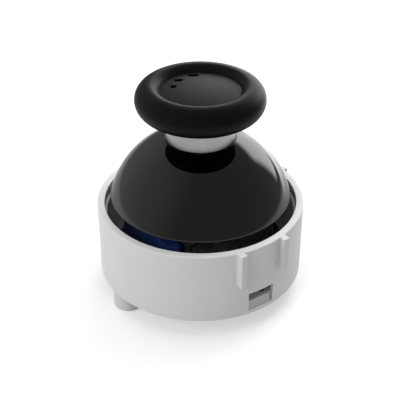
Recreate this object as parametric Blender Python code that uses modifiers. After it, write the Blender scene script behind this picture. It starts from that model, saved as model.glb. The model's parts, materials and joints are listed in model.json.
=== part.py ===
"""Two-axis thumb joystick module with a push switch.

Units are metres and +Z is up.  The origin is the centre of the seat face, the flat underside of the
module.  The cable window faces -Y.  The stick pivots about a point on the Z axis: the pieces that tilt
are built round that point and hang from an empty placed there.
"""
import math

import bmesh
import bpy
from mathutils import Matrix, Vector

# Clearances between pieces
FIT_GAP = 0.0003
CLOSE_GAP = 0.0002
RUNNING_GAP = 0.0003

# Small offsets that keep the faces of joined shapes from coinciding
WELD = 0.0001
HAIR = 0.00002

# Points closer than this are one point
MERGE_DISTANCE = 0.000001

# Housing cup
HOUSING_RADIUS = 0.01568
HOUSING_HEIGHT = 0.0114
HOUSING_WALL = 0.00068
RIM_WIDTH = 0.0011
RIM_DEPTH = 0.0008
RIM_EDGE_ROUND = 0.0002
FOOT_EDGE = 0.00005
RIB_PROUD = 0.00056
RIB_THICKNESS = 0.00095
RIB_HEIGHT = 0.00555
RIB_SPACING = 0.00746
SIDE_RIB_OFFSET = -0.0006
PEG_RADIUS = 0.00228
PEG_DROP = 0.00315
PEG_INSET = 0.0023
PEG_CHAMFER = 0.0003
PEG_LUG_WIDTH = 0.0052
PEG_LUG_LENGTH = 0.0026

# Cable window and the sill block behind it
WINDOW_WIDTH = 0.00447
WINDOW_HEIGHT = 0.00312
WINDOW_SILL = 0.00058
SILL_BLOCK_TOP = 0.0022
SILL_BLOCK_INSET = 0.00028
SILL_BLOCK_DEPTH = 0.0015
SILL_STEP_WIDTH = 0.00047
SILL_STEP_INSET = 0.00035
SILL_NOTCH_WIDTH = 0.00115
SILL_NOTCH_DEPTH = 0.0007

# Inner liner
LINER_WALL = 0.0005
LINER_GAP = 0.00025
LINER_TOP_DROP = 0.0005

# Base plate, circuit board and their fixings
BASE_THICKNESS = 0.0008
BOARD_STANDOFF = 0.0008
BOARD_THICKNESS = 0.0008
BOARD_EDGE_GAP = 0.00065
POST_RADIUS = 0.0008
POST_INSET = 0.0017
POST_ANGLE = 35.0
POST_PIP_RADIUS = 0.00045
SCREW_RADIUS = 0.0008
SCREW_HEAD_RADIUS = 0.0015
SCREW_HEAD_HEIGHT = 0.0005
SCREW_INSET = 0.0021
SCREW_GRIP = 0.0016
SCREW_BOSS_WALL = 0.0008
SCREW_SLOT_WIDTH = 0.0003
SCREW_SLOT_LENGTH = 0.0018
SCREW_SLOT_DEPTH = 0.00028

# Cable connector
CONNECTOR_WIDTH = 0.0052
CONNECTOR_HEIGHT = 0.0022
CONNECTOR_BACK_GAP = 0.0008
CONNECTOR_WALL = 0.00055
CONNECTOR_ROOF = 0.0004
CONNECTOR_PROUD = 0.0001
CONNECTOR_PIN_COUNT = 4
CONNECTOR_PIN_PITCH = 0.001
CONNECTOR_PIN_SIZE = 0.0003
CONNECTOR_KEY_WIDTH = 0.001

# Tilting stick: heights are above the pivot
PIVOT_HEIGHT = 0.00878
DOME_GAP = 0.00012
DOME_WALL = 0.0010
DOME_LIP_ANGLE = 15.0
DOME_ROOF_THICKNESS = 0.0012
DOME_HUB_WALL = 0.0010
DOME_HUB_LENGTH = 0.0028
COLLAR_RADIUS = 0.00533
COLLAR_STEP = 0.00002
RING_RADIUS = 0.00514
RING_WALL = 0.0008
RING_HEIGHT = 0.00395
RING_BEVEL = 0.0001
CAP_RADIUS = 0.00947
CAP_TUBE_RADIUS = 0.00226
CAP_DISC_RADIUS = 0.00576
CAP_DISC_CROWN = 0.00035
CAP_DISH_DEPTH = 0.00093
CORE_RADIUS = 0.0040
CORE_HEIGHT = 0.0018
CORE_HUB_WALL = 0.0009
SHAFT_RADIUS = 0.0015
SHAFT_FOOT_RADIUS = 0.0036
SHOULDER_RADIUS = 0.0026
SHOULDER_HEIGHT = 0.0008
DASH_WIDTH = 0.00066
DASH_DEPTH = 0.0003
DASH_ROUND = 0.0003
DASH_FIRST_LENGTH = 0.0008
DASH_GROWTH = 0.00036
DASH_HEADING = -34.5
DASH_PLACES = ((0.66, 172.0), (0.71, 140.0), (0.79, 102.5))
TILT_LIMIT = 18.0
PRESS_TRAVEL = 0.0005
BUTTON_TRAVEL = 0.00025

# Gimbal mechanism
FRAME_HALF_WIDTH = 0.0080
FRAME_SHEET = 0.0004
FRAME_TOP = 0.0032
FRAME_OPENING_LEDGE = 0.0006
FRAME_CORNER_RADIUS = 0.0013
FRAME_TAB_WIDTH = 0.0024
FRAME_TAB_REACH = 0.0003
GIMBAL_FLOOR = 0.0007
SPRING_CUP_RADIUS = 0.0043
SPRING_CUP_WALL = 0.0004
AXLE_RADIUS = 0.0012
ROCKER_BLOCK_LENGTH = 0.0072
ROCKER_BLOCK_WIDTH = 0.0064
ROCKER_BLOCK_HEIGHT = 0.0028
ROCKER_BLOCK_ROUND = 0.0008
PIN_RADIUS = 0.0006
BAIL_GAP = 0.0014
BAIL_THICKNESS = 0.0012
BAIL_WIDTH = 0.0050
BAIL_BOSS_RADIUS = 0.0022
BAIL_SLOT_ROUND = 0.0016
SLIDER_RING_WALL = 0.0007
SLIDER_RING_HEIGHT = 0.0010
SLIDER_CHEEK = 0.0010
SLIDER_CHEEK_GAP = 0.0008
SLIDER_CHEEK_WIDTH = 0.0038
SLIDER_FOOT_WIDTH = 0.0034
SLIDER_ARM_WIDTH = 0.0018
SLIDER_ARM_THICKNESS = 0.0008
PLUNGER_RADIUS = 0.0042
PLUNGER_STEM_RADIUS = 0.0029
PLUNGER_FLANGE = 0.0005
PLUNGER_BOWL_ANGLE = 38.0
SPRING_RADIUS = 0.00355
SPRING_WIRE_RADIUS = 0.0002
SPRING_TURNS = 4
SPRING_DEAD_TURNS = 0.75
SPRING_CLOSED_GAP = 0.00005

# Axis sensors
SENSOR_THICKNESS = 0.0020
SENSOR_END_GAP = 0.0008
SENSOR_SHOULDER = 0.0010
SENSOR_TOP_RADIUS = 0.0042
SENSOR_FACE_WALL = 0.0007
SENSOR_CORNER = 0.0012
ROTOR_RADIUS = 0.0026
TERMINAL_COUNT = 3
TERMINAL_PITCH = 0.0025
TERMINAL_SIZE = 0.0005
TERMINAL_TAIL = 0.0003

# Push switch
SWITCH_GAP = 0.0010
SWITCH_LENGTH = 0.0036
SWITCH_WIDTH = 0.0044
SWITCH_HEIGHT = 0.0016
SWITCH_ROUND = 0.0004
SWITCH_WELL_FLOOR = 0.00064
BUTTON_RADIUS = 0.0009
BUTTON_RISE = 0.0006

# Small board parts
CAPACITOR_COUNT = 3
CAPACITOR_LENGTH = 0.0010
CAPACITOR_WIDTH = 0.0005
CAPACITOR_PITCH = 0.0014
CAPACITOR_INSET = 0.0018

# Facets round a full turn
LARGE_STEPS = 64
DOME_STEPS = 44
MEDIUM_STEPS = 28
SMALL_STEPS = 20
TINY_STEPS = 12

# Facets along the arcs of turned profiles
DOME_ARC_STEPS = 10
DOME_INNER_ARC_STEPS = 7
CAP_ARC_STEPS = 12
CAP_SLOPE_STEPS = 4
DISC_ARC_STEPS = 3
BOWL_ARC_STEPS = 6
FOOT_ARC_STEPS = 4
EDGE_ARC_STEPS = 4

# Edges sharper than this stay crisp in the finished meshes
SHARP_ANGLE = 35.0

# Levels and radii worked out from the sizes above
BORE_RADIUS = HOUSING_RADIUS - HOUSING_WALL
RIM_INNER_RADIUS = HOUSING_RADIUS - RIM_WIDTH
RIB_REACH = HOUSING_RADIUS + RIB_PROUD
PEG_CENTRE_RADIUS = HOUSING_RADIUS - PEG_INSET
PEG_LUG_INNER_RADIUS = PEG_CENTRE_RADIUS - PEG_LUG_LENGTH
RIM_UNDERSIDE = HOUSING_HEIGHT - RIM_DEPTH - (RIM_WIDTH - HOUSING_WALL)
BASE_RADIUS = BORE_RADIUS - FIT_GAP
LINER_OUTER_RADIUS = BORE_RADIUS - LINER_GAP
LINER_INNER_RADIUS = LINER_OUTER_RADIUS - LINER_WALL
DOME_RADIUS = LINER_INNER_RADIUS - DOME_GAP
BOARD_RADIUS = LINER_INNER_RADIUS - BOARD_EDGE_GAP
POST_CENTRE_RADIUS = BOARD_RADIUS - POST_INSET
CAPACITOR_RADIUS = BOARD_RADIUS - CAPACITOR_INSET
WINDOW_TOP = WINDOW_SILL + WINDOW_HEIGHT
BOARD_BOTTOM = BASE_THICKNESS + BOARD_STANDOFF
BOARD_TOP = BOARD_BOTTOM + BOARD_THICKNESS
SEAT_LEVEL = BOARD_TOP + FIT_GAP
GIMBAL_FLOOR_TOP = SEAT_LEVEL + GIMBAL_FLOOR
FRAME_INNER = FRAME_HALF_WIDTH - FRAME_SHEET
FRAME_OPENING_RADIUS = FRAME_INNER - FRAME_OPENING_LEDGE
SCREW_OFFSET = FRAME_INNER - SCREW_INSET
BAIL_RADIUS = FRAME_INNER - BAIL_GAP
SPRING_CUP_BOTTOM = BASE_THICKNESS + FIT_GAP
AXLE_HOLE_RADIUS = AXLE_RADIUS + RUNNING_GAP
SHAFT_HOLE_RADIUS = SHAFT_RADIUS + FIT_GAP
SENSOR_INNER = FRAME_HALF_WIDTH + CLOSE_GAP
SENSOR_OUTER = SENSOR_INNER + SENSOR_THICKNESS
SENSOR_HALF_WIDTH = FRAME_HALF_WIDTH - SENSOR_END_GAP
CONNECTOR_FRONT = -BOARD_RADIUS - CONNECTOR_PROUD
CONNECTOR_DEPTH = -SENSOR_OUTER - CONNECTOR_BACK_GAP - CONNECTOR_FRONT
BOWL_RADIUS = SHAFT_FOOT_RADIUS + FIT_GAP
COLLAR_TOP = math.sqrt(DOME_RADIUS ** 2 - COLLAR_RADIUS ** 2) + COLLAR_STEP
CAP_UNDERSIDE = COLLAR_TOP + RING_HEIGHT
CAP_TUBE_HEIGHT = CAP_UNDERSIDE + CAP_TUBE_RADIUS
DOME_ROOF_UNDERSIDE = COLLAR_TOP - COLLAR_STEP - DOME_ROOF_THICKNESS
SHOULDER_TOP = DOME_ROOF_UNDERSIDE - DOME_HUB_LENGTH - CLOSE_GAP
CORE_BOTTOM = CAP_UNDERSIDE + FIT_GAP
CORE_TOP = CORE_BOTTOM + CORE_HEIGHT
CORE_HUB_RADIUS = SHAFT_HOLE_RADIUS + CORE_HUB_WALL
SHAFT_TOP = CORE_TOP - CORE_HUB_WALL - FIT_GAP
SLIDER_RING_INNER = PLUNGER_RADIUS + FIT_GAP + CLOSE_GAP
SLIDER_RING_BOTTOM = GIMBAL_FLOOR_TOP + FIT_GAP + PRESS_TRAVEL
SLIDER_CHEEK_OUTER = FRAME_INNER - SLIDER_CHEEK_GAP
SLIDER_CHEEK_INNER = SLIDER_CHEEK_OUTER - SLIDER_CHEEK
SWITCH_INNER = FRAME_HALF_WIDTH + SWITCH_GAP
SWITCH_CENTRE = SWITCH_INNER + 0.5 * SWITCH_LENGTH
ROTOR_END = SENSOR_OUTER - SENSOR_FACE_WALL - FIT_GAP
SWITCH_TOP = SEAT_LEVEL + SWITCH_HEIGHT
BUTTON_TOP = SWITCH_TOP + BUTTON_RISE
SLIDER_ARM_BOTTOM = BUTTON_TOP + FIT_GAP
SLIDER_ARM_TOP = SLIDER_ARM_BOTTOM + SLIDER_ARM_THICKNESS


def clear_scene():
    """Remove whatever objects the file holds."""
    for obj in list(bpy.data.objects):
        bpy.data.objects.remove(obj, do_unlink=True)


def make_collection(name):
    """Return a new collection linked to the scene."""
    collection = bpy.data.collections.new(name)
    bpy.context.scene.collection.children.link(collection)
    return collection


def make_material(name, colour, roughness, metallic=0.0):
    """Return a Principled material with a plain colour."""
    material = bpy.data.materials.new(name)
    material.use_nodes = True
    shader = material.node_tree.nodes["Principled BSDF"]
    shader.inputs["Base Color"].default_value = (*colour, 1.0)
    shader.inputs["Roughness"].default_value = roughness
    shader.inputs["Metallic"].default_value = metallic
    material.diffuse_color = (*colour, 1.0)
    return material


def make_holder(name, location):
    """Return an empty that carries the pieces of one moving body."""
    holder = bpy.data.objects.new(name, None)
    holder.location = location
    holder.empty_display_size = PEG_DROP
    PARTS.objects.link(holder)
    return holder


def add_object(name, mesh, holder, material=None):
    """Add a mesh as a visible part, or as a hidden cutter when it has no material."""
    obj = bpy.data.objects.new(name, mesh)
    obj.parent = holder
    if material is None:
        TOOLS.objects.link(obj)
        obj.hide_render = True
        obj.display_type = 'WIRE'
    else:
        PARTS.objects.link(obj)
        mesh.materials.append(material)
    return obj


def add_box(bm, low, high):
    """Add a box between two corners to a bmesh."""
    low = Vector(low)
    high = Vector(high)
    size = high - low
    matrix = Matrix.Translation((low + high) / 2) @ Matrix.Diagonal((*size, 1.0))
    return bmesh.ops.create_cube(bm, size=1.0, matrix=matrix)["verts"]


def add_rounded_box(bm, low, high, radius, axis=2, segments=3):
    """Add a box whose edges along one axis are rounded."""
    verts = add_box(bm, low, high)
    edges = {edge for vert in verts for edge in vert.link_edges}
    along = [edge for edge in edges if abs((edge.verts[0].co - edge.verts[1].co).normalized()[axis]) > 0.9]
    bmesh.ops.bevel(bm, geom=along, offset=radius, segments=segments, affect='EDGES', profile=0.5)


def add_rod(bm, start, end, radius, segments=SMALL_STEPS, end_radius=None):
    """Add a round rod or a cone between two points to a bmesh."""
    start = Vector(start)
    end = Vector(end)
    axis = end - start
    turn = axis.to_track_quat('Z', 'Y').to_matrix().to_4x4()
    matrix = Matrix.Translation((start + end) / 2) @ turn
    far_radius = radius if end_radius is None else end_radius
    bmesh.ops.create_cone(bm, cap_ends=True, segments=segments, radius1=radius, radius2=far_radius,
                          depth=axis.length, matrix=matrix)


def add_prism(bm, outline, low, high):
    """Add a straight prism over an outline in plan to a bmesh."""
    rings = [[bm.verts.new((x, y, level)) for x, y in outline] for level in (low, high)]
    faces = [bm.faces.new(ring) for ring in rings]
    for index in range(len(outline)):
        after = (index + 1) % len(outline)
        faces.append(bm.faces.new((rings[0][index], rings[0][after], rings[1][after], rings[1][index])))
    bmesh.ops.recalc_face_normals(bm, faces=faces)


def solid(name, bm, holder, material=None):
    """Turn a bmesh into an object and free it."""
    mesh = bpy.data.meshes.new(name)
    bm.to_mesh(mesh)
    bm.free()
    return add_object(name, mesh, holder, material)


def turned(name, profile, holder, material=None, steps=LARGE_STEPS, closed=True):
    """Turn a profile of (radius, height) points about Z; it runs down its outer side."""
    mesh = bpy.data.meshes.new(name)
    verts = [(radius, 0.0, height) for radius, height in profile]
    edges = [(index, index + 1) for index in range(len(verts) - 1)]
    if closed:
        edges.append((len(verts) - 1, 0))
    mesh.from_pydata(verts, edges, [])
    obj = add_object(name, mesh, holder, material)
    screw = obj.modifiers.new("Turn", 'SCREW')
    screw.axis = 'Z'
    screw.angle = math.tau
    screw.steps = steps
    screw.render_steps = steps
    screw.use_merge_vertices = True
    screw.merge_threshold = MERGE_DISTANCE
    return obj


def arc(centre_radius, centre_height, radius, start, end, count):
    """Points of an arc in the profile plane, angles in degrees from +X."""
    points = []
    for index in range(count + 1):
        angle = math.radians(start + (end - start) * index / count)
        points.append((centre_radius + radius * math.cos(angle), centre_height + radius * math.sin(angle)))
    return points


def combine(target, tool, operation):
    """Join a tool to the target, or cut it away."""
    modifier = target.modifiers.new(operation.title(), 'BOOLEAN')
    modifier.operation = operation
    modifier.solver = 'EXACT'
    modifier.object = tool


def join(target, tool):
    """Boolean union."""
    combine(target, tool, 'UNION')


def cut(target, tool):
    """Boolean difference."""
    combine(target, tool, 'DIFFERENCE')


def build_housing(root):
    """Grey cup: wall and rim, three ribs, two pegs on lugs, cable window with a sill block."""
    radius = HOUSING_RADIUS
    top = HOUSING_HEIGHT
    edge = RIM_EDGE_ROUND
    profile = [(RIM_INNER_RADIUS, top)]
    profile += arc(radius - edge, top - edge, edge, 90, 0, EDGE_ARC_STEPS)
    profile += [(radius, FOOT_EDGE), (radius - FOOT_EDGE, 0.0), (BORE_RADIUS, 0.0)]
    profile += [(BORE_RADIUS, RIM_UNDERSIDE), (RIM_INNER_RADIUS, top - RIM_DEPTH)]
    housing = turned("housing", profile, root, GREY_PLASTIC)

    wall_middle = radius - 0.5 * HOUSING_WALL
    ribs = bmesh.new()
    half = 0.5 * RIB_THICKNESS
    for side in (-1, 1):
        centre = side * 0.5 * RIB_SPACING
        root_y = -math.sqrt(wall_middle ** 2 - centre ** 2)
        add_box(ribs, (centre - half, -RIB_REACH, top - RIB_HEIGHT), (centre + half, root_y, top))
    add_box(ribs, (wall_middle, SIDE_RIB_OFFSET - half, top - RIB_HEIGHT),
            (RIB_REACH, SIDE_RIB_OFFSET + half, top))
    join(housing, solid("rib_tool", ribs, root))

    lugs = bmesh.new()
    for side in (-1, 1):
        inner = side * PEG_LUG_INNER_RADIUS
        outer = side * wall_middle
        low = (min(inner, outer), -0.5 * PEG_LUG_WIDTH, 0.0)
        high = (max(inner, outer), 0.5 * PEG_LUG_WIDTH, BASE_THICKNESS)
        add_box(lugs, low, high)
    lug_tool = solid("lug_tool", lugs, root)
    trim = turned("lug_trim", [(0.0, 2 * BASE_THICKNESS), (wall_middle, 2 * BASE_THICKNESS),
                               (wall_middle, -BASE_THICKNESS), (0.0, -BASE_THICKNESS)],
                  root, closed=False)
    combine(lug_tool, trim, 'INTERSECT')
    join(housing, lug_tool)

    for side in (-1, 1):
        tip = -PEG_DROP
        profile = [(0.0, 0.5 * BASE_THICKNESS), (PEG_RADIUS, 0.5 * BASE_THICKNESS)]
        profile += [(PEG_RADIUS, tip + PEG_CHAMFER), (PEG_RADIUS - PEG_CHAMFER, tip), (0.0, tip)]
        peg = turned("peg_tool", profile, root, steps=MEDIUM_STEPS, closed=False)
        peg.location.x = side * PEG_CENTRE_RADIUS
        join(housing, peg)

    window = bmesh.new()
    half = 0.5 * WINDOW_WIDTH
    add_box(window, (-half, -RIB_REACH, WINDOW_SILL), (half, -BORE_RADIUS + HOUSING_WALL, WINDOW_TOP))
    cut(housing, solid("window_cutter", window, root))

    block_front = -HOUSING_RADIUS + SILL_BLOCK_INSET
    block_back = block_front + SILL_BLOCK_DEPTH
    sill = bmesh.new()
    add_box(sill, (-half, -wall_middle + WELD, 0.0), (half, block_back, WINDOW_SILL - WELD))
    join(housing, solid("sill_foot_tool", sill, root))
    side = half + WELD
    back = block_back - HAIR
    step_left = half - SILL_STEP_WIDTH
    step_front = block_front + SILL_STEP_INSET
    notch_left = step_left - SILL_NOTCH_WIDTH
    notch_front = back - SILL_NOTCH_DEPTH
    outline = [(-side, back), (-side, block_front), (step_left, block_front), (step_left, step_front),
               (side, step_front), (side, back), (step_left, back), (step_left, notch_front),
               (notch_left, notch_front), (notch_left, back)]
    block = bmesh.new()
    add_prism(block, outline, 0.5 * WINDOW_SILL, SILL_BLOCK_TOP)
    join(housing, solid("sill_block_tool", block, root))
    return block_back


def build_base_plate(root, sill_back):
    """Grey floor that closes the cup, with board posts and screw bosses."""
    profile = [(0.0, BASE_THICKNESS), (BASE_RADIUS, BASE_THICKNESS), (BASE_RADIUS, 0.0), (0.0, 0.0)]
    plate = turned("base_plate", profile, root, GREY_PLASTIC, closed=False)

    notches = bmesh.new()
    half = 0.5 * PEG_LUG_WIDTH + FIT_GAP
    for side in (-1, 1):
        inner = side * (PEG_LUG_INNER_RADIUS - FIT_GAP)
        outer = side * HOUSING_RADIUS
        add_box(notches, (min(inner, outer), -half, -BASE_THICKNESS),
                (max(inner, outer), half, 2 * BASE_THICKNESS))
    half = 0.5 * WINDOW_WIDTH + FIT_GAP
    add_box(notches, (-half, -HOUSING_RADIUS, -BASE_THICKNESS),
            (half, sill_back + FIT_GAP, 2 * BASE_THICKNESS))
    cut(plate, solid("base_notch_cutter", notches, root))

    foot = 0.5 * BASE_THICKNESS
    posts = bmesh.new()
    for x, y in board_post_points():
        add_rod(posts, (x, y, foot), (x, y, BOARD_BOTTOM - CLOSE_GAP), POST_RADIUS, TINY_STEPS)
    join(plate, solid("post_tool", posts, root))
    pips = bmesh.new()
    for x, y in board_post_points():
        add_rod(pips, (x, y, BASE_THICKNESS), (x, y, BOARD_TOP - CLOSE_GAP), POST_PIP_RADIUS, TINY_STEPS)
    join(plate, solid("post_pip_tool", pips, root))

    bosses = bmesh.new()
    for x, y in screw_points():
        add_rod(bosses, (x, y, foot), (x, y, BOARD_BOTTOM - CLOSE_GAP), SCREW_HEAD_RADIUS + SCREW_BOSS_WALL)
    join(plate, solid("screw_boss_tool", bosses, root))
    holes = bmesh.new()
    for x, y in screw_points():
        add_rod(holes, (x, y, -BASE_THICKNESS), (x, y, 2 * BOARD_BOTTOM), SCREW_RADIUS + CLOSE_GAP)
    cut(plate, solid("screw_hole_cutter", holes, root))
    sinks = bmesh.new()
    for x, y in screw_points():
        add_rod(sinks, (x, y, -BASE_THICKNESS), (x, y, screw_head_seat()), SCREW_HEAD_RADIUS + CLOSE_GAP)
    cut(plate, solid("screw_sink_cutter", sinks, root))


def board_post_points():
    """Centres of the four posts that locate the board."""
    x = POST_CENTRE_RADIUS * math.cos(math.radians(POST_ANGLE))
    y = POST_CENTRE_RADIUS * math.sin(math.radians(POST_ANGLE))
    return [(x, y), (-x, y), (-x, -y), (x, -y)]


def screw_points():
    """Centres of the two screws, on one diagonal of the gimbal."""
    return [(SCREW_OFFSET, SCREW_OFFSET), (-SCREW_OFFSET, -SCREW_OFFSET)]


def screw_head_seat():
    """Height of the face that the screw heads bear on."""
    return SCREW_HEAD_HEIGHT + CLOSE_GAP + FIT_GAP


def build_base_screws(root):
    """Two pan head screws put in from below."""
    for index, (x, y) in enumerate(screw_points()):
        name = "base_screw_%d" % (index + 1)
        head_top = screw_head_seat() - CLOSE_GAP
        head = bmesh.new()
        add_rod(head, (x, y, head_top - SCREW_HEAD_HEIGHT), (x, y, head_top), SCREW_HEAD_RADIUS)
        screw = solid(name, head, root, STEEL)
        shank = bmesh.new()
        add_rod(shank, (x, y, head_top - 0.5 * SCREW_HEAD_HEIGHT), (x, y, GIMBAL_FLOOR_TOP + SCREW_GRIP),
                SCREW_RADIUS)
        join(screw, solid(name + "_shank_tool", shank, root))
        reach = 0.5 * SCREW_SLOT_LENGTH
        half = 0.5 * SCREW_SLOT_WIDTH
        slot_top = head_top - SCREW_HEAD_HEIGHT + SCREW_SLOT_DEPTH
        slot = bmesh.new()
        add_box(slot, (x - reach, y - half, -SCREW_HEAD_HEIGHT), (x + reach, y + half, slot_top))
        cut(screw, solid(name + "_slot_cutter", slot, root))


def build_liner(root):
    """Dark sleeve inside the cup wall, notched for the cable window and the lugs."""
    inner = LINER_INNER_RADIUS
    outer = LINER_OUTER_RADIUS
    top = HOUSING_HEIGHT - RIM_DEPTH - LINER_TOP_DROP - FIT_GAP
    bottom = BASE_THICKNESS + FIT_GAP
    liner = turned("inner_liner", [(inner, top), (outer, top), (outer, bottom), (inner, bottom)],
                   root, DARK_PLASTIC)
    notch = bmesh.new()
    half = 0.5 * CONNECTOR_WIDTH + 2 * FIT_GAP
    add_box(notch, (-half, -HOUSING_RADIUS, 0.0), (half, 0.0, WINDOW_TOP + 2 * FIT_GAP))
    cut(liner, solid("liner_notch_cutter", notch, root))


def build_circuit_board(root):
    """Round board with holes for posts, screws, terminals, frame tabs and the spring cup."""
    profile = [(0.0, BOARD_TOP), (BOARD_RADIUS, BOARD_TOP), (BOARD_RADIUS, BOARD_BOTTOM), (0.0, BOARD_BOTTOM)]
    board = turned("circuit_board", profile, root, BOARD_GREEN, steps=DOME_STEPS, closed=False)

    low = BOARD_BOTTOM - BOARD_THICKNESS
    high = BOARD_TOP + BOARD_THICKNESS
    notch = bmesh.new()
    half = 0.5 * CONNECTOR_WIDTH + FIT_GAP
    add_box(notch, (-half, -HOUSING_RADIUS, low), (half, CONNECTOR_FRONT + CONNECTOR_DEPTH + FIT_GAP, high))
    cut(board, solid("board_notch_cutter", notch, root))

    holes = bmesh.new()
    for x, y in board_post_points():
        add_rod(holes, (x, y, low), (x, y, high), POST_PIP_RADIUS + CLOSE_GAP, TINY_STEPS)
    for x, y in screw_points():
        add_rod(holes, (x, y, low), (x, y, high), SCREW_RADIUS + CLOSE_GAP)
    for x, y in sensor_terminal_points():
        add_rod(holes, (x, y, low), (x, y, high), TERMINAL_SIZE / math.sqrt(2.0) + CLOSE_GAP, TINY_STEPS)
    add_rod(holes, (0, 0, low), (0, 0, high), SPRING_CUP_RADIUS + FIT_GAP)
    for x, y in frame_tab_points():
        along_x = 0.5 * FRAME_SHEET if abs(x) > abs(y) else 0.5 * FRAME_TAB_WIDTH
        along_y = 0.5 * FRAME_TAB_WIDTH if abs(x) > abs(y) else 0.5 * FRAME_SHEET
        add_box(holes, (x - along_x - CLOSE_GAP, y - along_y - CLOSE_GAP, low),
                (x + along_x + CLOSE_GAP, y + along_y + CLOSE_GAP, high))
    cut(board, solid("board_hole_cutter", holes, root))


def sensor_terminal_points():
    """Centres of the terminals of both sensors, the -X sensor first."""
    depth = SENSOR_INNER + 0.5 * SENSOR_THICKNESS
    offsets = [(index - 0.5 * (TERMINAL_COUNT - 1)) * TERMINAL_PITCH for index in range(TERMINAL_COUNT)]
    return [(-depth, offset) for offset in offsets] + [(offset, -depth) for offset in offsets]


def frame_tab_points():
    """Centres of the four tabs that go through the board."""
    middle = FRAME_HALF_WIDTH - 0.5 * FRAME_SHEET
    return [(middle, 0.0), (0.0, middle), (-middle, 0.0), (0.0, -middle)]


def build_connector(root):
    """Side entry cable connector, sunk in a notch of the board, with its pins."""
    half = 0.5 * CONNECTOR_WIDTH
    front = CONNECTOR_FRONT
    back = front + CONNECTOR_DEPTH
    bottom = BASE_THICKNESS + FIT_GAP
    top = bottom + CONNECTOR_HEIGHT
    shell = bmesh.new()
    add_box(shell, (-half, front, bottom), (half, back, top))
    body = solid("connector_shell", shell, root, CONNECTOR_BEIGE)

    cavity = bmesh.new()
    add_box(cavity, (-half + CONNECTOR_WALL, front - CONNECTOR_WALL, bottom + CONNECTOR_WALL),
            (half - CONNECTOR_WALL, back - CONNECTOR_WALL, top - CONNECTOR_ROOF))
    cut(body, solid("connector_cavity_cutter", cavity, root))
    key = bmesh.new()
    key_right = half - CONNECTOR_WALL
    add_box(key, (key_right - CONNECTOR_KEY_WIDTH, front - CONNECTOR_WALL, bottom - CONNECTOR_WALL),
            (key_right - HAIR, front + CONNECTOR_WALL, bottom + 2 * CONNECTOR_WALL))
    cut(body, solid("connector_key_cutter", key, root))

    middle = bottom + 0.5 * CONNECTOR_HEIGHT
    size = 0.5 * CONNECTOR_PIN_SIZE
    holes = bmesh.new()
    for index in range(CONNECTOR_PIN_COUNT):
        x = (index - 0.5 * (CONNECTOR_PIN_COUNT - 1)) * CONNECTOR_PIN_PITCH
        hole = size + 0.5 * CLOSE_GAP
        add_box(holes, (x - hole, back - 2 * CONNECTOR_WALL, middle - hole),
                (x + hole, back + CONNECTOR_WALL, middle + hole))
        pin = bmesh.new()
        add_box(pin, (x - size, front + 2 * CONNECTOR_WALL, middle - size),
                (x + size, back + CLOSE_GAP, middle + size))
        solid("connector_pin_%d" % (index + 1), pin, root, GOLD)
    cut(body, solid("connector_pin_hole_cutter", holes, root))


def build_gimbal_base(root):
    """Black floor of the gimbal: square plate, spring cup through the board, two screw posts."""
    half = FRAME_INNER - FIT_GAP
    plate = bmesh.new()
    add_rounded_box(plate, (-half, -half, SEAT_LEVEL), (half, half, GIMBAL_FLOOR_TOP),
                    FRAME_CORNER_RADIUS - FRAME_SHEET)
    base = solid("gimbal_base", plate, root, BLACK_PLASTIC)

    cup = bmesh.new()
    inside_floor = 0.5 * (SEAT_LEVEL + GIMBAL_FLOOR_TOP)
    add_rod(cup, (0, 0, SPRING_CUP_BOTTOM), (0, 0, inside_floor), SPRING_CUP_RADIUS, MEDIUM_STEPS)
    join(base, solid("spring_cup_tool", cup, root))
    posts = bmesh.new()
    for x, y in screw_points():
        add_rod(posts, (x, y, inside_floor), (x, y, GIMBAL_FLOOR_TOP + SCREW_GRIP),
                SCREW_RADIUS + CLOSE_GAP + SCREW_BOSS_WALL)
    join(base, solid("screw_post_tool", posts, root))

    pocket = bmesh.new()
    add_rod(pocket, (0, 0, SPRING_CUP_BOTTOM + SPRING_CUP_WALL), (0, 0, PIVOT_HEIGHT),
            SPRING_CUP_RADIUS - SPRING_CUP_WALL, MEDIUM_STEPS)
    cut(base, solid("spring_pocket_cutter", pocket, root))
    holes = bmesh.new()
    for x, y in screw_points():
        add_rod(holes, (x, y, 0.0), (x, y, PIVOT_HEIGHT), SCREW_RADIUS + CLOSE_GAP)
    cut(base, solid("screw_bore_cutter", holes, root))


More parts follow.
